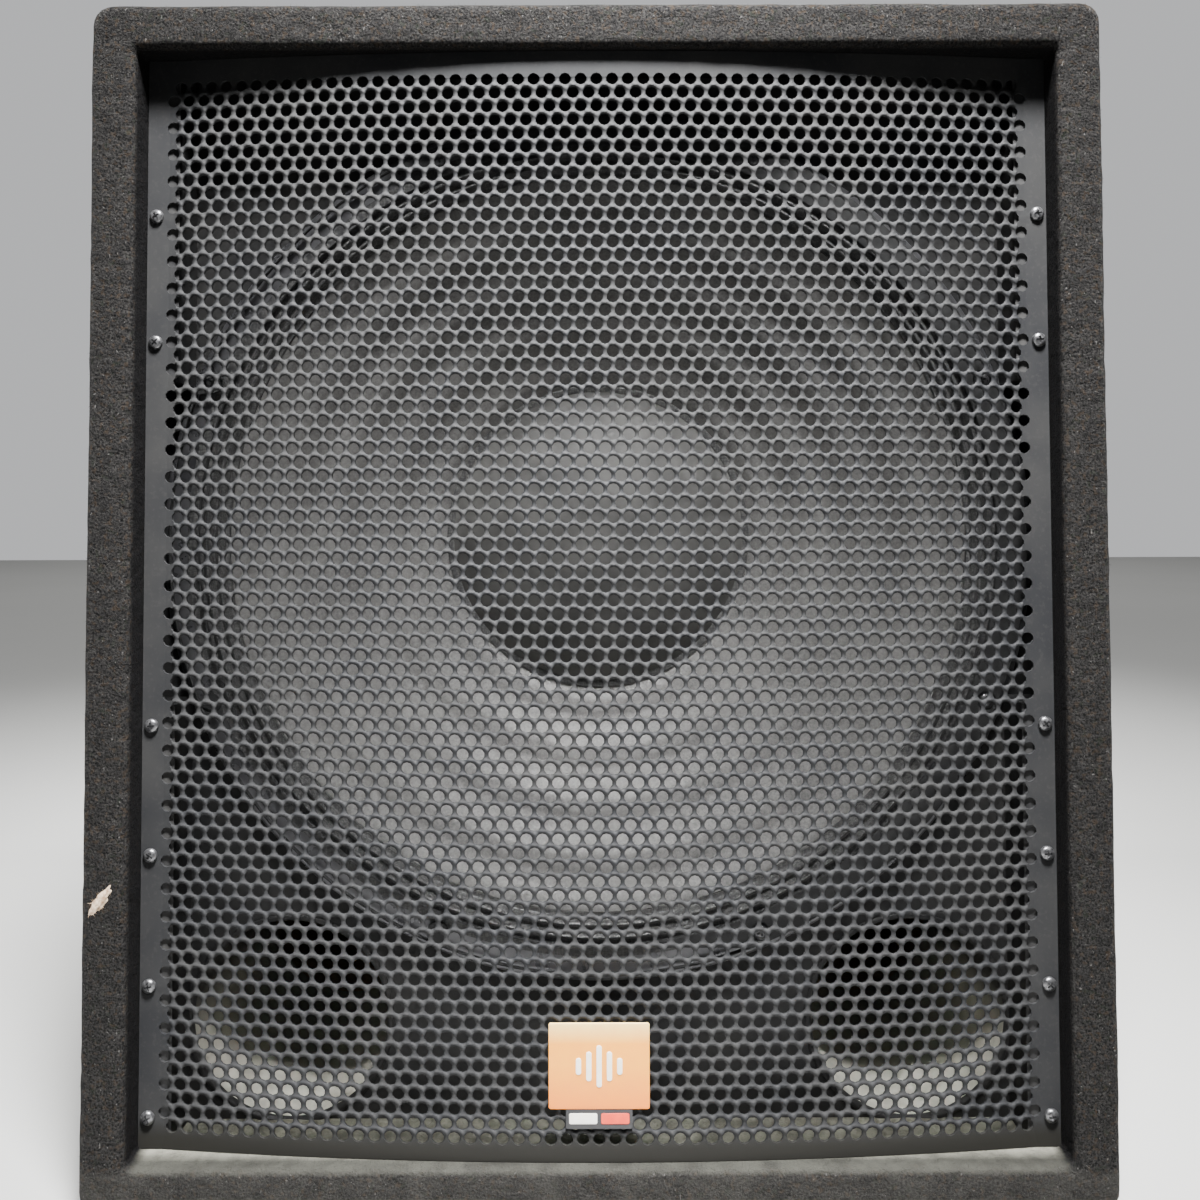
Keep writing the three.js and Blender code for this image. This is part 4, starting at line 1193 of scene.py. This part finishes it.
def add_spider():
    """A flat disc of corrugated cloth that centres the coil."""
    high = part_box("spider")[1]
    y = MOTOR_FRONT - 24.2 * MM
    inner_r = CONE_NECK_R + 0.05 * MM
    outer_r = high.x
    wave = 12 * MM
    front = []
    for t in shares(steps=110):
        r = inner_r + (outer_r - inner_r) * t
        flat = min(1.0, (1 - t) * 6, 0.4 + t * 6)
        front.append((r, y - 1 * MM + 1.6 * MM * flat * math.sin(2 * math.pi * (r - inner_r) / wave)))
    shape = turned(sheet_section(front, 0.7 * MM), DRIVER_AXIS, segments=128)
    disc = finished("corrugated_spider", shape, DOPED_CLOTH, None, ["spider"], sharp=80.0)
    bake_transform(disc, "cabinet", "cone_assembly", (0, y, DRIVER_Z), (0, y + 0.01, DRIVER_Z))
    weigh_radially(disc, inner_r + 3 * MM, outer_r - 10 * MM)


def bolt_places():
    """The angle of each of the driver's bolts, and its X and Z from the driver's axis."""
    angles = [math.radians(22.5 + 45 * i) for i in range(BOLT_COUNT)]
    return [(a, BOLT_CIRCLE_R * math.cos(a), BOLT_CIRCLE_R * math.sin(a)) for a in angles]


def add_gasket():
    low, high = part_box("woofer_gasket")
    depth = high.y - low.y
    rings = [circle(high.x, count=160), circle(FRAME_MOUTH_R, count=160)]
    rings += [circle(4.7 * MM, (x, z), 20) for _, x, z in bolt_places()]
    mesh = plate(rings, depth, 0.8 * MM, front_facing(0.0, low.y + depth / 2, DRIVER_Z))
    finished("gasket_ring", mesh, RUBBER, stands_for=["woofer_gasket"])


def add_driver_bolts():
    seat_y = FRAME_FRONT - 1.4 * MM
    profile = rounded(
        [(1 * MM, seat_y), (4.5 * MM, seat_y), (4.5 * MM, FRAME_FRONT), (1 * MM, FRAME_FRONT)], 0.3 * MM
    )
    for i, (angle, x, z) in enumerate(bolt_places()):
        spin = Matrix.Rotation(angle, 4, "Z")
        head = screw_head(4.2 * MM, 3.2 * MM, front_facing(x, seat_y, DRIVER_Z + z) @ spin)
        washer = turned(profile, (x, DRIVER_Z + z), segments=24)
        finished(f"driver_bolt_{i + 1}", joined(head, washer), BLACK_ZINC)


def basket_profile():
    """The section of the pressed frame, from its rim back to the seat of the motor."""
    wall = 2.8 * MM
    shoulder_y = BAFFLE_FRONT + 11.5 * MM
    ledge_y = MOTOR_FRONT - 23.5 * MM
    seat_y = MOTOR_FRONT - 3.3 * MM
    back_y = BAFFLE_FRONT - 0.05 * MM
    shoulder_r = 203 * MM
    ledge_outer_r = 108 * MM
    ledge_inner_r = 92 * MM
    seat_r = 88 * MM
    bore_r = 46 * MM
    outline = [
        (FRAME_R, FRAME_FRONT),
        (FRAME_R, back_y),
        (210 * MM, back_y),
        (shoulder_r + wall, shoulder_y + wall),
        (ledge_outer_r + wall, ledge_y + wall),
        (ledge_inner_r + wall, ledge_y + wall),
        (seat_r + wall, seat_y + wall),
        (bore_r, seat_y + wall),
        (bore_r, seat_y),
        (seat_r, seat_y),
        (ledge_inner_r, ledge_y),
        (ledge_outer_r, ledge_y),
        (shoulder_r, shoulder_y),
        (FRAME_MOUTH_R - 1 * MM, FRAME_FRONT),
    ]
    return rounded(outline, 2 * MM)


def window_outline(start):
    """The arc-shaped outline of one window between two spokes, which begins at that angle in degrees."""
    width = 30
    outer_r = 190 * MM
    inner_r = 114 * MM
    angles = [math.radians(start + width * t) for t in shares(steps=14)]
    arc = [(outer_r * math.cos(a), outer_r * math.sin(a)) for a in angles]
    return arc + [(inner_r * math.cos(a), inner_r * math.sin(a)) for a in reversed(angles)]


def add_basket():
    """A pressed frame with eight windows behind the cone."""
    mesh = turned(basket_profile(), DRIVER_AXIS, segments=160)
    node = "woofer_basket"
    basket = finished("pressed_frame", mesh, FRAME_PAINT, stands_for=[node])
    depths = (BAFFLE_FRONT + 11.5 * MM, MOTOR_FRONT - 5 * MM)
    cutters = []
    for i in range(8):
        outline = window_outline(45 * i + 7.5)
        cutters.append(bridge([[(x, y, DRIVER_Z + z) for x, z in outline] for y in depths]))
    cut_away(basket, *cutters)


def ring_profile(inner_r, outer_r, y0, y1, edge=0.8 * MM):
    return rounded([(inner_r, y0), (outer_r, y0), (outer_r, y1), (inner_r, y1)], edge)


def driver_ring(node, inner_r, edge=0.8 * MM):
    """A ring that fills a CAD node's box round the driver's axis, with a bore of that radius."""
    low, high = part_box(node)
    return turned(ring_profile(inner_r, high.x, low.y, high.y, edge), DRIVER_AXIS)


def add_motor():
    mesh = driver_ring("top_plate", 41 * MM)
    finished("motor_top_plate", mesh, PLATED_STEEL, stands_for=["top_plate"])
    mesh = driver_ring("magnet", 50 * MM, 1.5 * MM)
    finished("magnet_ring", mesh, FERRITE, stands_for=["magnet"])
    add_yoke()
    mesh = driver_ring("coil_former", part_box("coil_former")[1].x - 0.5 * MM, 0.1 * MM)
    finished("coil_tube", mesh, FORMER_FILM, "cone_assembly", ["coil_former"])
    add_winding()


def add_yoke():
    """A back plate with a pole in one piece, and a vent through both."""
    low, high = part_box("yoke")
    plate_y = high.y - 12 * MM
    pole_r = 36.5 * MM
    vent_r = 12 * MM
    outline = [
        (vent_r, low.y),
        (pole_r, low.y),
        (pole_r, plate_y),
        (high.x, plate_y),
        (high.x, high.y),
        (vent_r, high.y),
    ]
    mesh = turned(rounded(outline, 1 * MM), DRIVER_AXIS)
    finished("vented_yoke", mesh, PLATED_STEEL, stands_for=["yoke"])


def add_winding():
    """The coil, as turns of flat wire side by side."""
    low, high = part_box("coil_winding")
    turns = 24
    pitch = (high.y - low.y) / turns
    groove_r = high.x - 0.25 * MM
    inner_r = high.x - 1.2 * MM
    outer = []
    for i in range(turns):
        start = low.y + pitch * i
        outer += [(groove_r, start), (high.x, start + pitch * 0.3), (high.x, start + pitch * 0.7)]
    profile = [(inner_r, low.y), *outer, (groove_r, high.y), (inner_r, high.y)]
    mesh = turned(profile, DRIVER_AXIS)
    finished("wound_coil", mesh, COPPER, "cone_assembly", ["coil_winding"])


def add_terminal_block():
    low, high, centre = span("terminal_block")
    width, depth, height = high - low
    at = rear_facing(centre.x, centre.y, centre.z)
    block = slab(width, height, 2 * MM, depth, 0.6 * MM, at)
    finished("terminal_body", block, PLASTIC, stands_for=["terminal_block"])
    for side, sign in SIDES:
        x = centre.x + sign * width * 0.27
        profile = ring_profile(1.6 * MM, 4 * MM, high.y - 0.5 * MM, high.y + 3 * MM, 0.5 * MM)
        mesh = turned(profile, (x, centre.z), segments=32)
        finished(f"{side}_terminal_collar", mesh, PLATED_STEEL)


# ---- Ports and damping ----


def add_ports():
    """Two board tubes, each with a rounded mouth painted over with the baffle."""
    for side, _ in SIDES:
        low, high, centre = span(f"{side}_port_tube")
        axis = (centre.x, centre.z)
        outer_r = (high.x - low.x) / 2
        inner_r = outer_r - 2.1 * MM
        seam_y = low.y + 2 * MM
        tube = turned(ring_profile(inner_r, outer_r, seam_y, high.y, 0.3 * MM), axis, segments=112)
        finished(f"{side}_port", tube, PORT_BOARD, stands_for=[f"{side}_port_tube"])
        mouth = [
            (outer_r, seam_y + 0.1 * MM),
            (outer_r, low.y + 1 * MM),
            (outer_r + 1.6 * MM, low.y - 0.1 * MM),
            (outer_r + 1.0 * MM, low.y - 1.2 * MM),
            (outer_r - 0.9 * MM, low.y - 1.3 * MM),
            (inner_r, low.y + 0.6 * MM),
            (inner_r, seam_y + 0.1 * MM),
        ]
        ring = turned(rounded(mouth, 0.6 * MM), axis, segments=112)
        finished(f"{side}_port_mouth", ring, BLACK_PAINT)


def add_damping_pad():
    """Wadding down both side walls and across the top, lumpy where nothing presses on it."""
    low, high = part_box("damping_pad")
    path = [(-1, low.z), (-1, high.z), (1, high.z), (1, low.z)]
    outline = []
    for (side_a, z_a), (side_b, z_b) in zip(path, path[1:]):
        for t in shares(steps=46)[:-1]:
            outline.append((side_a + (side_b - side_a) * t, z_a + (z_b - z_a) * t))
    outline.append(path[-1])
    depths = shares(steps=34)
    rows = [[pad_points(side, z, depth, low, high) for side, z in outline] for depth in depths]
    bm = bmesh.new()
    for layer in (0, 1):
        verts = [[bm.verts.new(point[layer]) for point in row] for row in rows]
        for near, far in zip(verts, verts[1:]):
            for i in range(len(near) - 1):
                bm.faces.new((near[i], near[i + 1], far[i + 1], far[i]))
    rim_faces(bm, len(outline), len(rows))
    mesh = to_mesh(bm)
    pad = finished("wadding_pad", mesh, WADDING, stands_for=["damping_pad"], sharp=80.0)


def pad_points(side, z, depth, low, high):
    """A point on the wall and the one opposite on the pad's open side.

    side runs from -1 at the left wall to 1 at the right one, and depth from 0 at the front to 1.
    """
    thickness = 22 * MM
    y = low.y + (high.y - low.y) * depth
    wall = Vector((side * high.x, y, z))
    open_side = Vector((side * (high.x - thickness), y, min(z, high.z - thickness)))
    edge = min(1.0, min(depth, 1 - depth) * 7)
    foot = min(1.0, (z - low.z) / (25 * MM) + 0.35)
    puff = math.sqrt(max(0.0, edge)) * foot
    lumps = 0.82 + 0.16 * noise.noise(Vector((side * 0.25, y, z)) * 28)
    return wall, wall + (open_side - wall) * max(0.25, puff * lumps)


def rim_faces(bm, columns, rows):
    """Closes the sides between two layers of columns by rows of vertices."""
    bm.verts.ensure_lookup_table()
    size = columns * rows
    border = [(0, i) for i in range(columns)]
    border += [(j, columns - 1) for j in range(1, rows)]
    border += [(rows - 1, i) for i in range(columns - 2, -1, -1)]
    border += [(j, 0) for j in range(rows - 2, 0, -1)]
    first = [bm.verts[j * columns + i] for j, i in border]
    second = [bm.verts[size + j * columns + i] for j, i in border]
    for k in range(len(border)):
        n = (k + 1) % len(border)
        bm.faces.new((first[k], first[n], second[n], second[k]))


# ---- Handles, pole socket, input dish and feet ----


def recess(mouth, corner, rim, depth, wall, at, holes=()):
    """A flanged cup. Z 0 of that matrix is its flange's face, and rim is the flange's width.

    Each step is how far the outline stands outside the mouth, its corner radius and its level.
    """
    width, height = mouth
    sheet = 2 * MM
    flange_corner = flange_turn(corner, rim)
    floor_inset = 5.4 * MM
    steps = [
        (rim - 0.2 * MM, flange_corner, -sheet),
        (rim, flange_corner, -sheet + 0.3 * MM),
        (rim, flange_corner, -0.7 * MM),
        (rim - 0.7 * MM, flange_corner - 0.7 * MM, 0.0),
        (2.2 * MM, corner + 2 * MM, 0.0),
        (0.7 * MM, corner + 0.7 * MM, -0.5 * MM),
        (0.0, corner, -2 * MM),
        (-1.2 * MM, corner - 1 * MM, -depth + 4 * MM),
        (-2.4 * MM, corner - 2 * MM, -depth + 1.2 * MM),
        (-floor_inset - 0.1 * MM, corner - 3 * MM, -depth),
        (-1 * MM, corner, -depth - wall),
        (wall - 0.6 * MM, corner + wall, -depth - wall + 3 * MM),
        (wall - 0.1 * MM, corner + wall, -sheet),
    ]
    rings = []
    for grow, radius, level in steps:
        outline = rounded_rectangle(width + 2 * grow, height + 2 * grow, radius, steps=8)
        rings.append([(x, y, level) for x, y in outline])
    side = placed(bridge(rings, caps=False, loop=True), at)
    floor_size = (width - 2 * floor_inset, height - 2 * floor_inset)
    floor = rounded_rectangle(*floor_size, corner - 3 * MM, steps=8)
    floor_at = at @ Matrix.Translation((0, 0, -depth - wall / 2))
    return joined(side, plate([floor, *holes], wall, 0.05 * MM, floor_at))


def add_handles():
    for side, sign in SIDES:
        node = f"{side}_handle_cup"
        low, high, centre = span(node)
        face = high.x if sign > 0 else -low.x
        rim = (high.y - low.y - HANDLE_MOUTH[0]) / 2
        at = side_facing(sign, sign * face, centre.y, centre.z)
        cup = recess(HANDLE_MOUTH, HANDLE_TURN, rim, HANDLE_DEPTH, 2.9 * MM, at)
        finished(f"{side}_handle_moulding", cup, PLASTIC, stands_for=[node])
        add_grip(side)
        add_flange_screws(f"{side}_handle_screw", HANDLE_MOUTH, rim, 3.6 * MM, at)


def add_flange_screws(name, mouth, rim, head_r, at):
    """Six screws along the middle of a flange: near its corners and at the middle of its long sides."""
    half_x = (mouth[0] + rim) / 2
    half_y = (mouth[1] + rim) / 2
    inset = 2.8 * MM
    places = [(sx * (half_x - inset), sy * (half_y - inset)) for sx in (-1, 1) for sy in (-1, 1)]
    places += [(0.0, sy * half_y) for sy in (-1, 1)]
    for k, (x, y) in enumerate(places):
        add_screw(f"{name}_{k + 1}", head_r, 1.6 * MM, at @ Matrix.Translation((x, y, -1.7 * MM)))


def add_grip(side):
    """A bar of rubber with fine ribs all round its middle and a slightly thicker end each side."""
    node = f"{side}_handle_grip"
    low, high, centre = span(node)
    width, _, height = high - low
    rings = []
    for i, t in enumerate(shares(steps=64)):
        y = low.y + (high.y - low.y) * t
        ribbed = 0.12 < t < 0.88
        swell = -0.5 * MM - (0.45 * MM if ribbed and i % 2 else 0.0)
        flare = 0.5 * MM if t < 0.06 or t > 0.94 else 0.0
        grow = 2 * (swell + flare)
        outline = rounded_rectangle(width + grow, height + grow, 6.5 * MM, (centre.x, centre.z))
        rings.append([(x, y, z) for x, z in outline])
    finished(f"{side}_ribbed_grip", bridge(rings), RUBBER, stands_for=[node], sharp=60.0)


def add_pole_socket():
    low, high, centre = span("pole_socket")
    flange_r = (high.x - low.x) / 2
    bore_r = 18.2 * MM
    sheet = 2 * MM
    screw_circle_r = 44 * MM
    outline = [
        (0.0, low.z),
        (bore_r + sheet, low.z),
        (bore_r + sheet, high.z - sheet),
        (flange_r, high.z - sheet),
        (flange_r, high.z),
        (bore_r, high.z),
        (bore_r, low.z + sheet),
        (0.0, low.z + sheet),
    ]
    mesh = turned(rounded(outline, 1.2 * MM), (centre.x, centre.y), axis="Z", segments=112, loop=False)
    finished("pole_socket_cup", mesh, SOCKET_PAINT, stands_for=["pole_socket"])
    for k in range(4):
        angle = math.radians(45 + 90 * k)
        x = centre.x + screw_circle_r * math.cos(angle)
        y = centre.y + screw_circle_r * math.sin(angle)
        at = facing((0, 0, 1), (0, 1, 0), (x, y, high.z - 1.8 * MM))
        add_screw(f"pole_socket_screw_{k + 1}", 4 * MM, 1.75 * MM, at)


def add_input_dish():
    """The rear dish, with a hole in its floor for each socket and jack."""
    low, high, centre = span("input_dish")
    rim = (high.x - low.x - DISH_MOUTH[0]) / 2
    at = rear_facing(centre.x, high.y, centre.z)
    holes = []
    for kind, radius, count in (("twist_socket", 12.3 * MM, 40), ("phone_jack", 5.8 * MM, 32)):
        for level in ("lower", "upper"):
            place = middle(f"{level}_{kind}")
            holes.append(circle(radius, (-(place.x - centre.x), place.z - centre.z), count))
    dish = recess(DISH_MOUTH, DISH_TURN, rim, DISH_DEPTH, 2.5 * MM, at, holes)
    finished("recessed_dish", dish, PLASTIC, stands_for=["input_dish"])
    add_flange_screws("dish_screw", DISH_MOUTH, rim, 3.4 * MM, at)
    for level in ("lower", "upper"):
        add_twist_socket(level)
        add_phone_jack(level)


def add_twist_socket(level):
    """A round twist-lock socket: a square face, a deep barrel, a central core and two keys."""
    node = f"{level}_twist_socket"
    low, high, centre = span(node)
    axis = (centre.x, centre.z)
    barrel_r = 12 * MM
    bore_r = 10.4 * MM
    core_r = 6.6 * MM
    core_bore_r = 2.2 * MM
    sheet = 2.5 * MM
    square = rounded_rectangle(high.x - low.x, high.z - low.z, 3 * MM)
    at = rear_facing(centre.x, high.y - sheet / 2, centre.z)
    face = plate([square, circle(bore_r)], sheet, 0.4 * MM, at)
    barrel_outline = [
        (0.0, low.y),
        (barrel_r, low.y),
        (barrel_r, high.y - sheet),
        (bore_r, high.y - sheet * 0.5),
        (bore_r, low.y + 6 * MM),
        (0.0, low.y + 6 * MM),
    ]
    barrel = turned(rounded(barrel_outline, 0.4 * MM), axis, segments=64, loop=False)
    core_outline = [
        (0.0, low.y + 5 * MM),
        (core_r, low.y + 5 * MM),
        (core_r, high.y - 5 * MM),
        (core_r - 1 * MM, high.y - 3 * MM),
        (core_bore_r, high.y - 3 * MM),
        (core_bore_r, high.y - 9 * MM),
        (0.0, high.y - 9 * MM),
    ]
    core = turned(rounded(core_outline, 0.5 * MM), axis, segments=48, loop=False)
    keys = []
    for sign in (1, -1):
        at = rear_facing(centre.x + sign * (bore_r - 1.2 * MM), high.y - 11 * MM, centre.z)
        keys.append(slab(2.4 * MM, 3.4 * MM, 0.5 * MM, 13 * MM, 0.3 * MM, at, steps=3))
    shell = joined(face, barrel, core, *keys)
    finished(f"{node}_shell", shell, PLASTIC, stands_for=[node])
    for k, sign in enumerate((-1, 1)):
        spot = rear_facing(centre.x + sign * 9.6 * MM, high.y - 0.9 * MM, centre.z + sign * 12.2 * MM)
        add_screw(f"{node}_screw_{k + 1}", 1.9 * MM, 0.85 * MM, spot)


def add_phone_jack(level):
    """A jack's square body behind the dish, and its round bush with a nut."""
    node = f"{level}_phone_jack"
    low, high, centre = span(node)
    bore_r = 3.5 * MM
    bush_r = 5.4 * MM
    nut_r = 8 * MM
    nut_back = high.y - 2.6 * MM
    body_back = nut_back - 5.6 * MM
    at = rear_facing(centre.x, (low.y + body_back) / 2, centre.z)
    body = slab(high.x - low.x, high.z - low.z, 1.5 * MM, body_back - low.y, 0.5 * MM, at)
    bush_outline = [
        (bore_r, low.y + 10 * MM),
        (bush_r, low.y + 10 * MM),
        (bush_r, nut_back),
        (nut_r, nut_back),
        (nut_r, high.y - 0.9 * MM),
        (6.2 * MM, high.y - 0.4 * MM),
        (5.2 * MM, high.y),
        (bore_r, high.y),
    ]
    bush = turned(rounded(bush_outline, 0.4 * MM), (centre.x, centre.z), segments=48)
    finished(f"{node}_body", body, PLASTIC, stands_for=[node])
    finished(f"{node}_nut", bush, BLACK_ZINC)


def add_feet():
    """Four round rubber feet, each with a screw at the bottom of its hollow."""
    hollow_r = 6 * MM
    hollow_depth = 4 * MM
    for corner in ("front_left", "front_right", "rear_left", "rear_right"):
        node = f"{corner}_foot"
        low, high, centre = span(node)
        radius = (high.x - low.x) / 2
        profile = [
            (0.0, high.z),
            (radius, high.z),
            (radius, high.z - 1.5 * MM),
            (radius - 2 * MM, low.z),
            (hollow_r + 0.4 * MM, low.z),
            (hollow_r, low.z + hollow_depth),
            (0.0, low.z + hollow_depth),
        ]
        shape = turned(rounded(profile, 0.8 * MM), (centre.x, centre.y), axis="Z", segments=72, loop=False)
        finished(f"{corner}_rubber_foot", shape, RUBBER, stands_for=[node])
        seat_z = low.z + hollow_depth - 0.05 * MM
        at = facing((0, 0, -1), (0, 1, 0), (centre.x, centre.y, seat_z))
        add_screw(f"{corner}_foot_screw", 4.6 * MM, 2.6 * MM, at, PLATED_STEEL)


# ---- Boards that keep their CAD shape ----


def dress_boards():
    """Gives the boards, which keep their CAD shape, bare plywood or the baffle's black paint."""
    battens = [f"{side}_{level}_batten" for side, _ in SIDES for level in ("lower", "upper")]
    plywood = [f"{place}_panel" for place in ("top", "bottom", "left", "right", "rear")]
    looks = {PLYWOOD: [*plywood, "window_brace"], BLACK_PAINT: ["baffle", *battens]}
    for look, nodes in looks.items():
        for node in nodes:
            for material_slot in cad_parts[node].material_slots:
                material_slot.material = look


# ---- Camera, floor and light ----


def add_camera():
    data = bpy.data.cameras.new("camera")
    data.sensor_width = CAMERA_SENSOR
    data.lens = CAMERA_LENS
    data.shift_y = CAMERA_SHIFT
    data.clip_start = 0.01
    camera = linked("camera", data)
    camera.location = CAMERA_PLACE
    camera.rotation_euler = [math.radians(angle) for angle in CAMERA_TURN]
    bpy.context.scene.camera = camera


def add_floor():
    look = Look("studio_floor", {"Roughness": 1.0, "Specular IOR Level": 0.0})
    look.paint(look.mixed(look.noise(0.6), (0.40, 0.40, 0.39), (0.43, 0.43, 0.42)))
    corners = [(sx * FLOOR_HALF, sy * FLOOR_HALF, 0) for sx, sy in ((-1, -1), (1, -1), (1, 1), (-1, 1))]
    mesh = bpy.data.meshes.new("studio_floor")
    mesh.from_pydata(corners, [], [(0, 1, 2, 3)])
    mesh.materials.append(look.material)
    linked("studio_floor", mesh)


def add_lamp(name, size, power, location, target, spread):
    """A soft round lamp at location that looks at target."""
    data = bpy.data.lights.new(name, "AREA")
    data.shape = "DISK"
    data.size = size
    data.energy = power
    data.spread = math.radians(spread)
    lamp = linked(name, data)
    lamp.location = location
    lamp.rotation_euler = (Vector(location) - Vector(target)).to_track_quat("Z", "Y").to_euler()
    lamp.visible_camera = False


def add_studio_world():
    """A pale background behind everything, and weak light from it."""
    world = bpy.data.worlds.new("studio")
    world.use_nodes = True
    tree = world.node_tree
    background = tree.nodes["Background"]
    background.inputs["Color"].default_value = (0.93, 0.94, 0.96, 1.0)
    path = tree.nodes.new("ShaderNodeLightPath")
    strength = tree.nodes.new("ShaderNodeMapRange")
    strength.inputs["To Min"].default_value = AMBIENT
    strength.inputs["To Max"].default_value = BACKDROP
    tree.links.new(path.outputs["Is Camera Ray"], strength.inputs["Value"])
    tree.links.new(strength.outputs[0], background.inputs["Strength"])
    bpy.context.scene.world = world


def add_light():
    add_studio_world()
    for lamp in LAMPS:
        add_lamp(*lamp)


def main():
    add_camera()
    add_floor()
    add_light()
    dress_boards()
    add_carpet()
    add_grille()
    add_grille_screws()
    add_badge()
    add_basket()
    add_gasket()
    add_driver_bolts()
    add_surround()
    add_cone()
    add_dust_cap()
    add_spider()
    add_motor()
    add_terminal_block()
    add_ports()
    add_damping_pad()
    add_handles()
    add_pole_socket()
    add_input_dish()
    add_feet()


main()
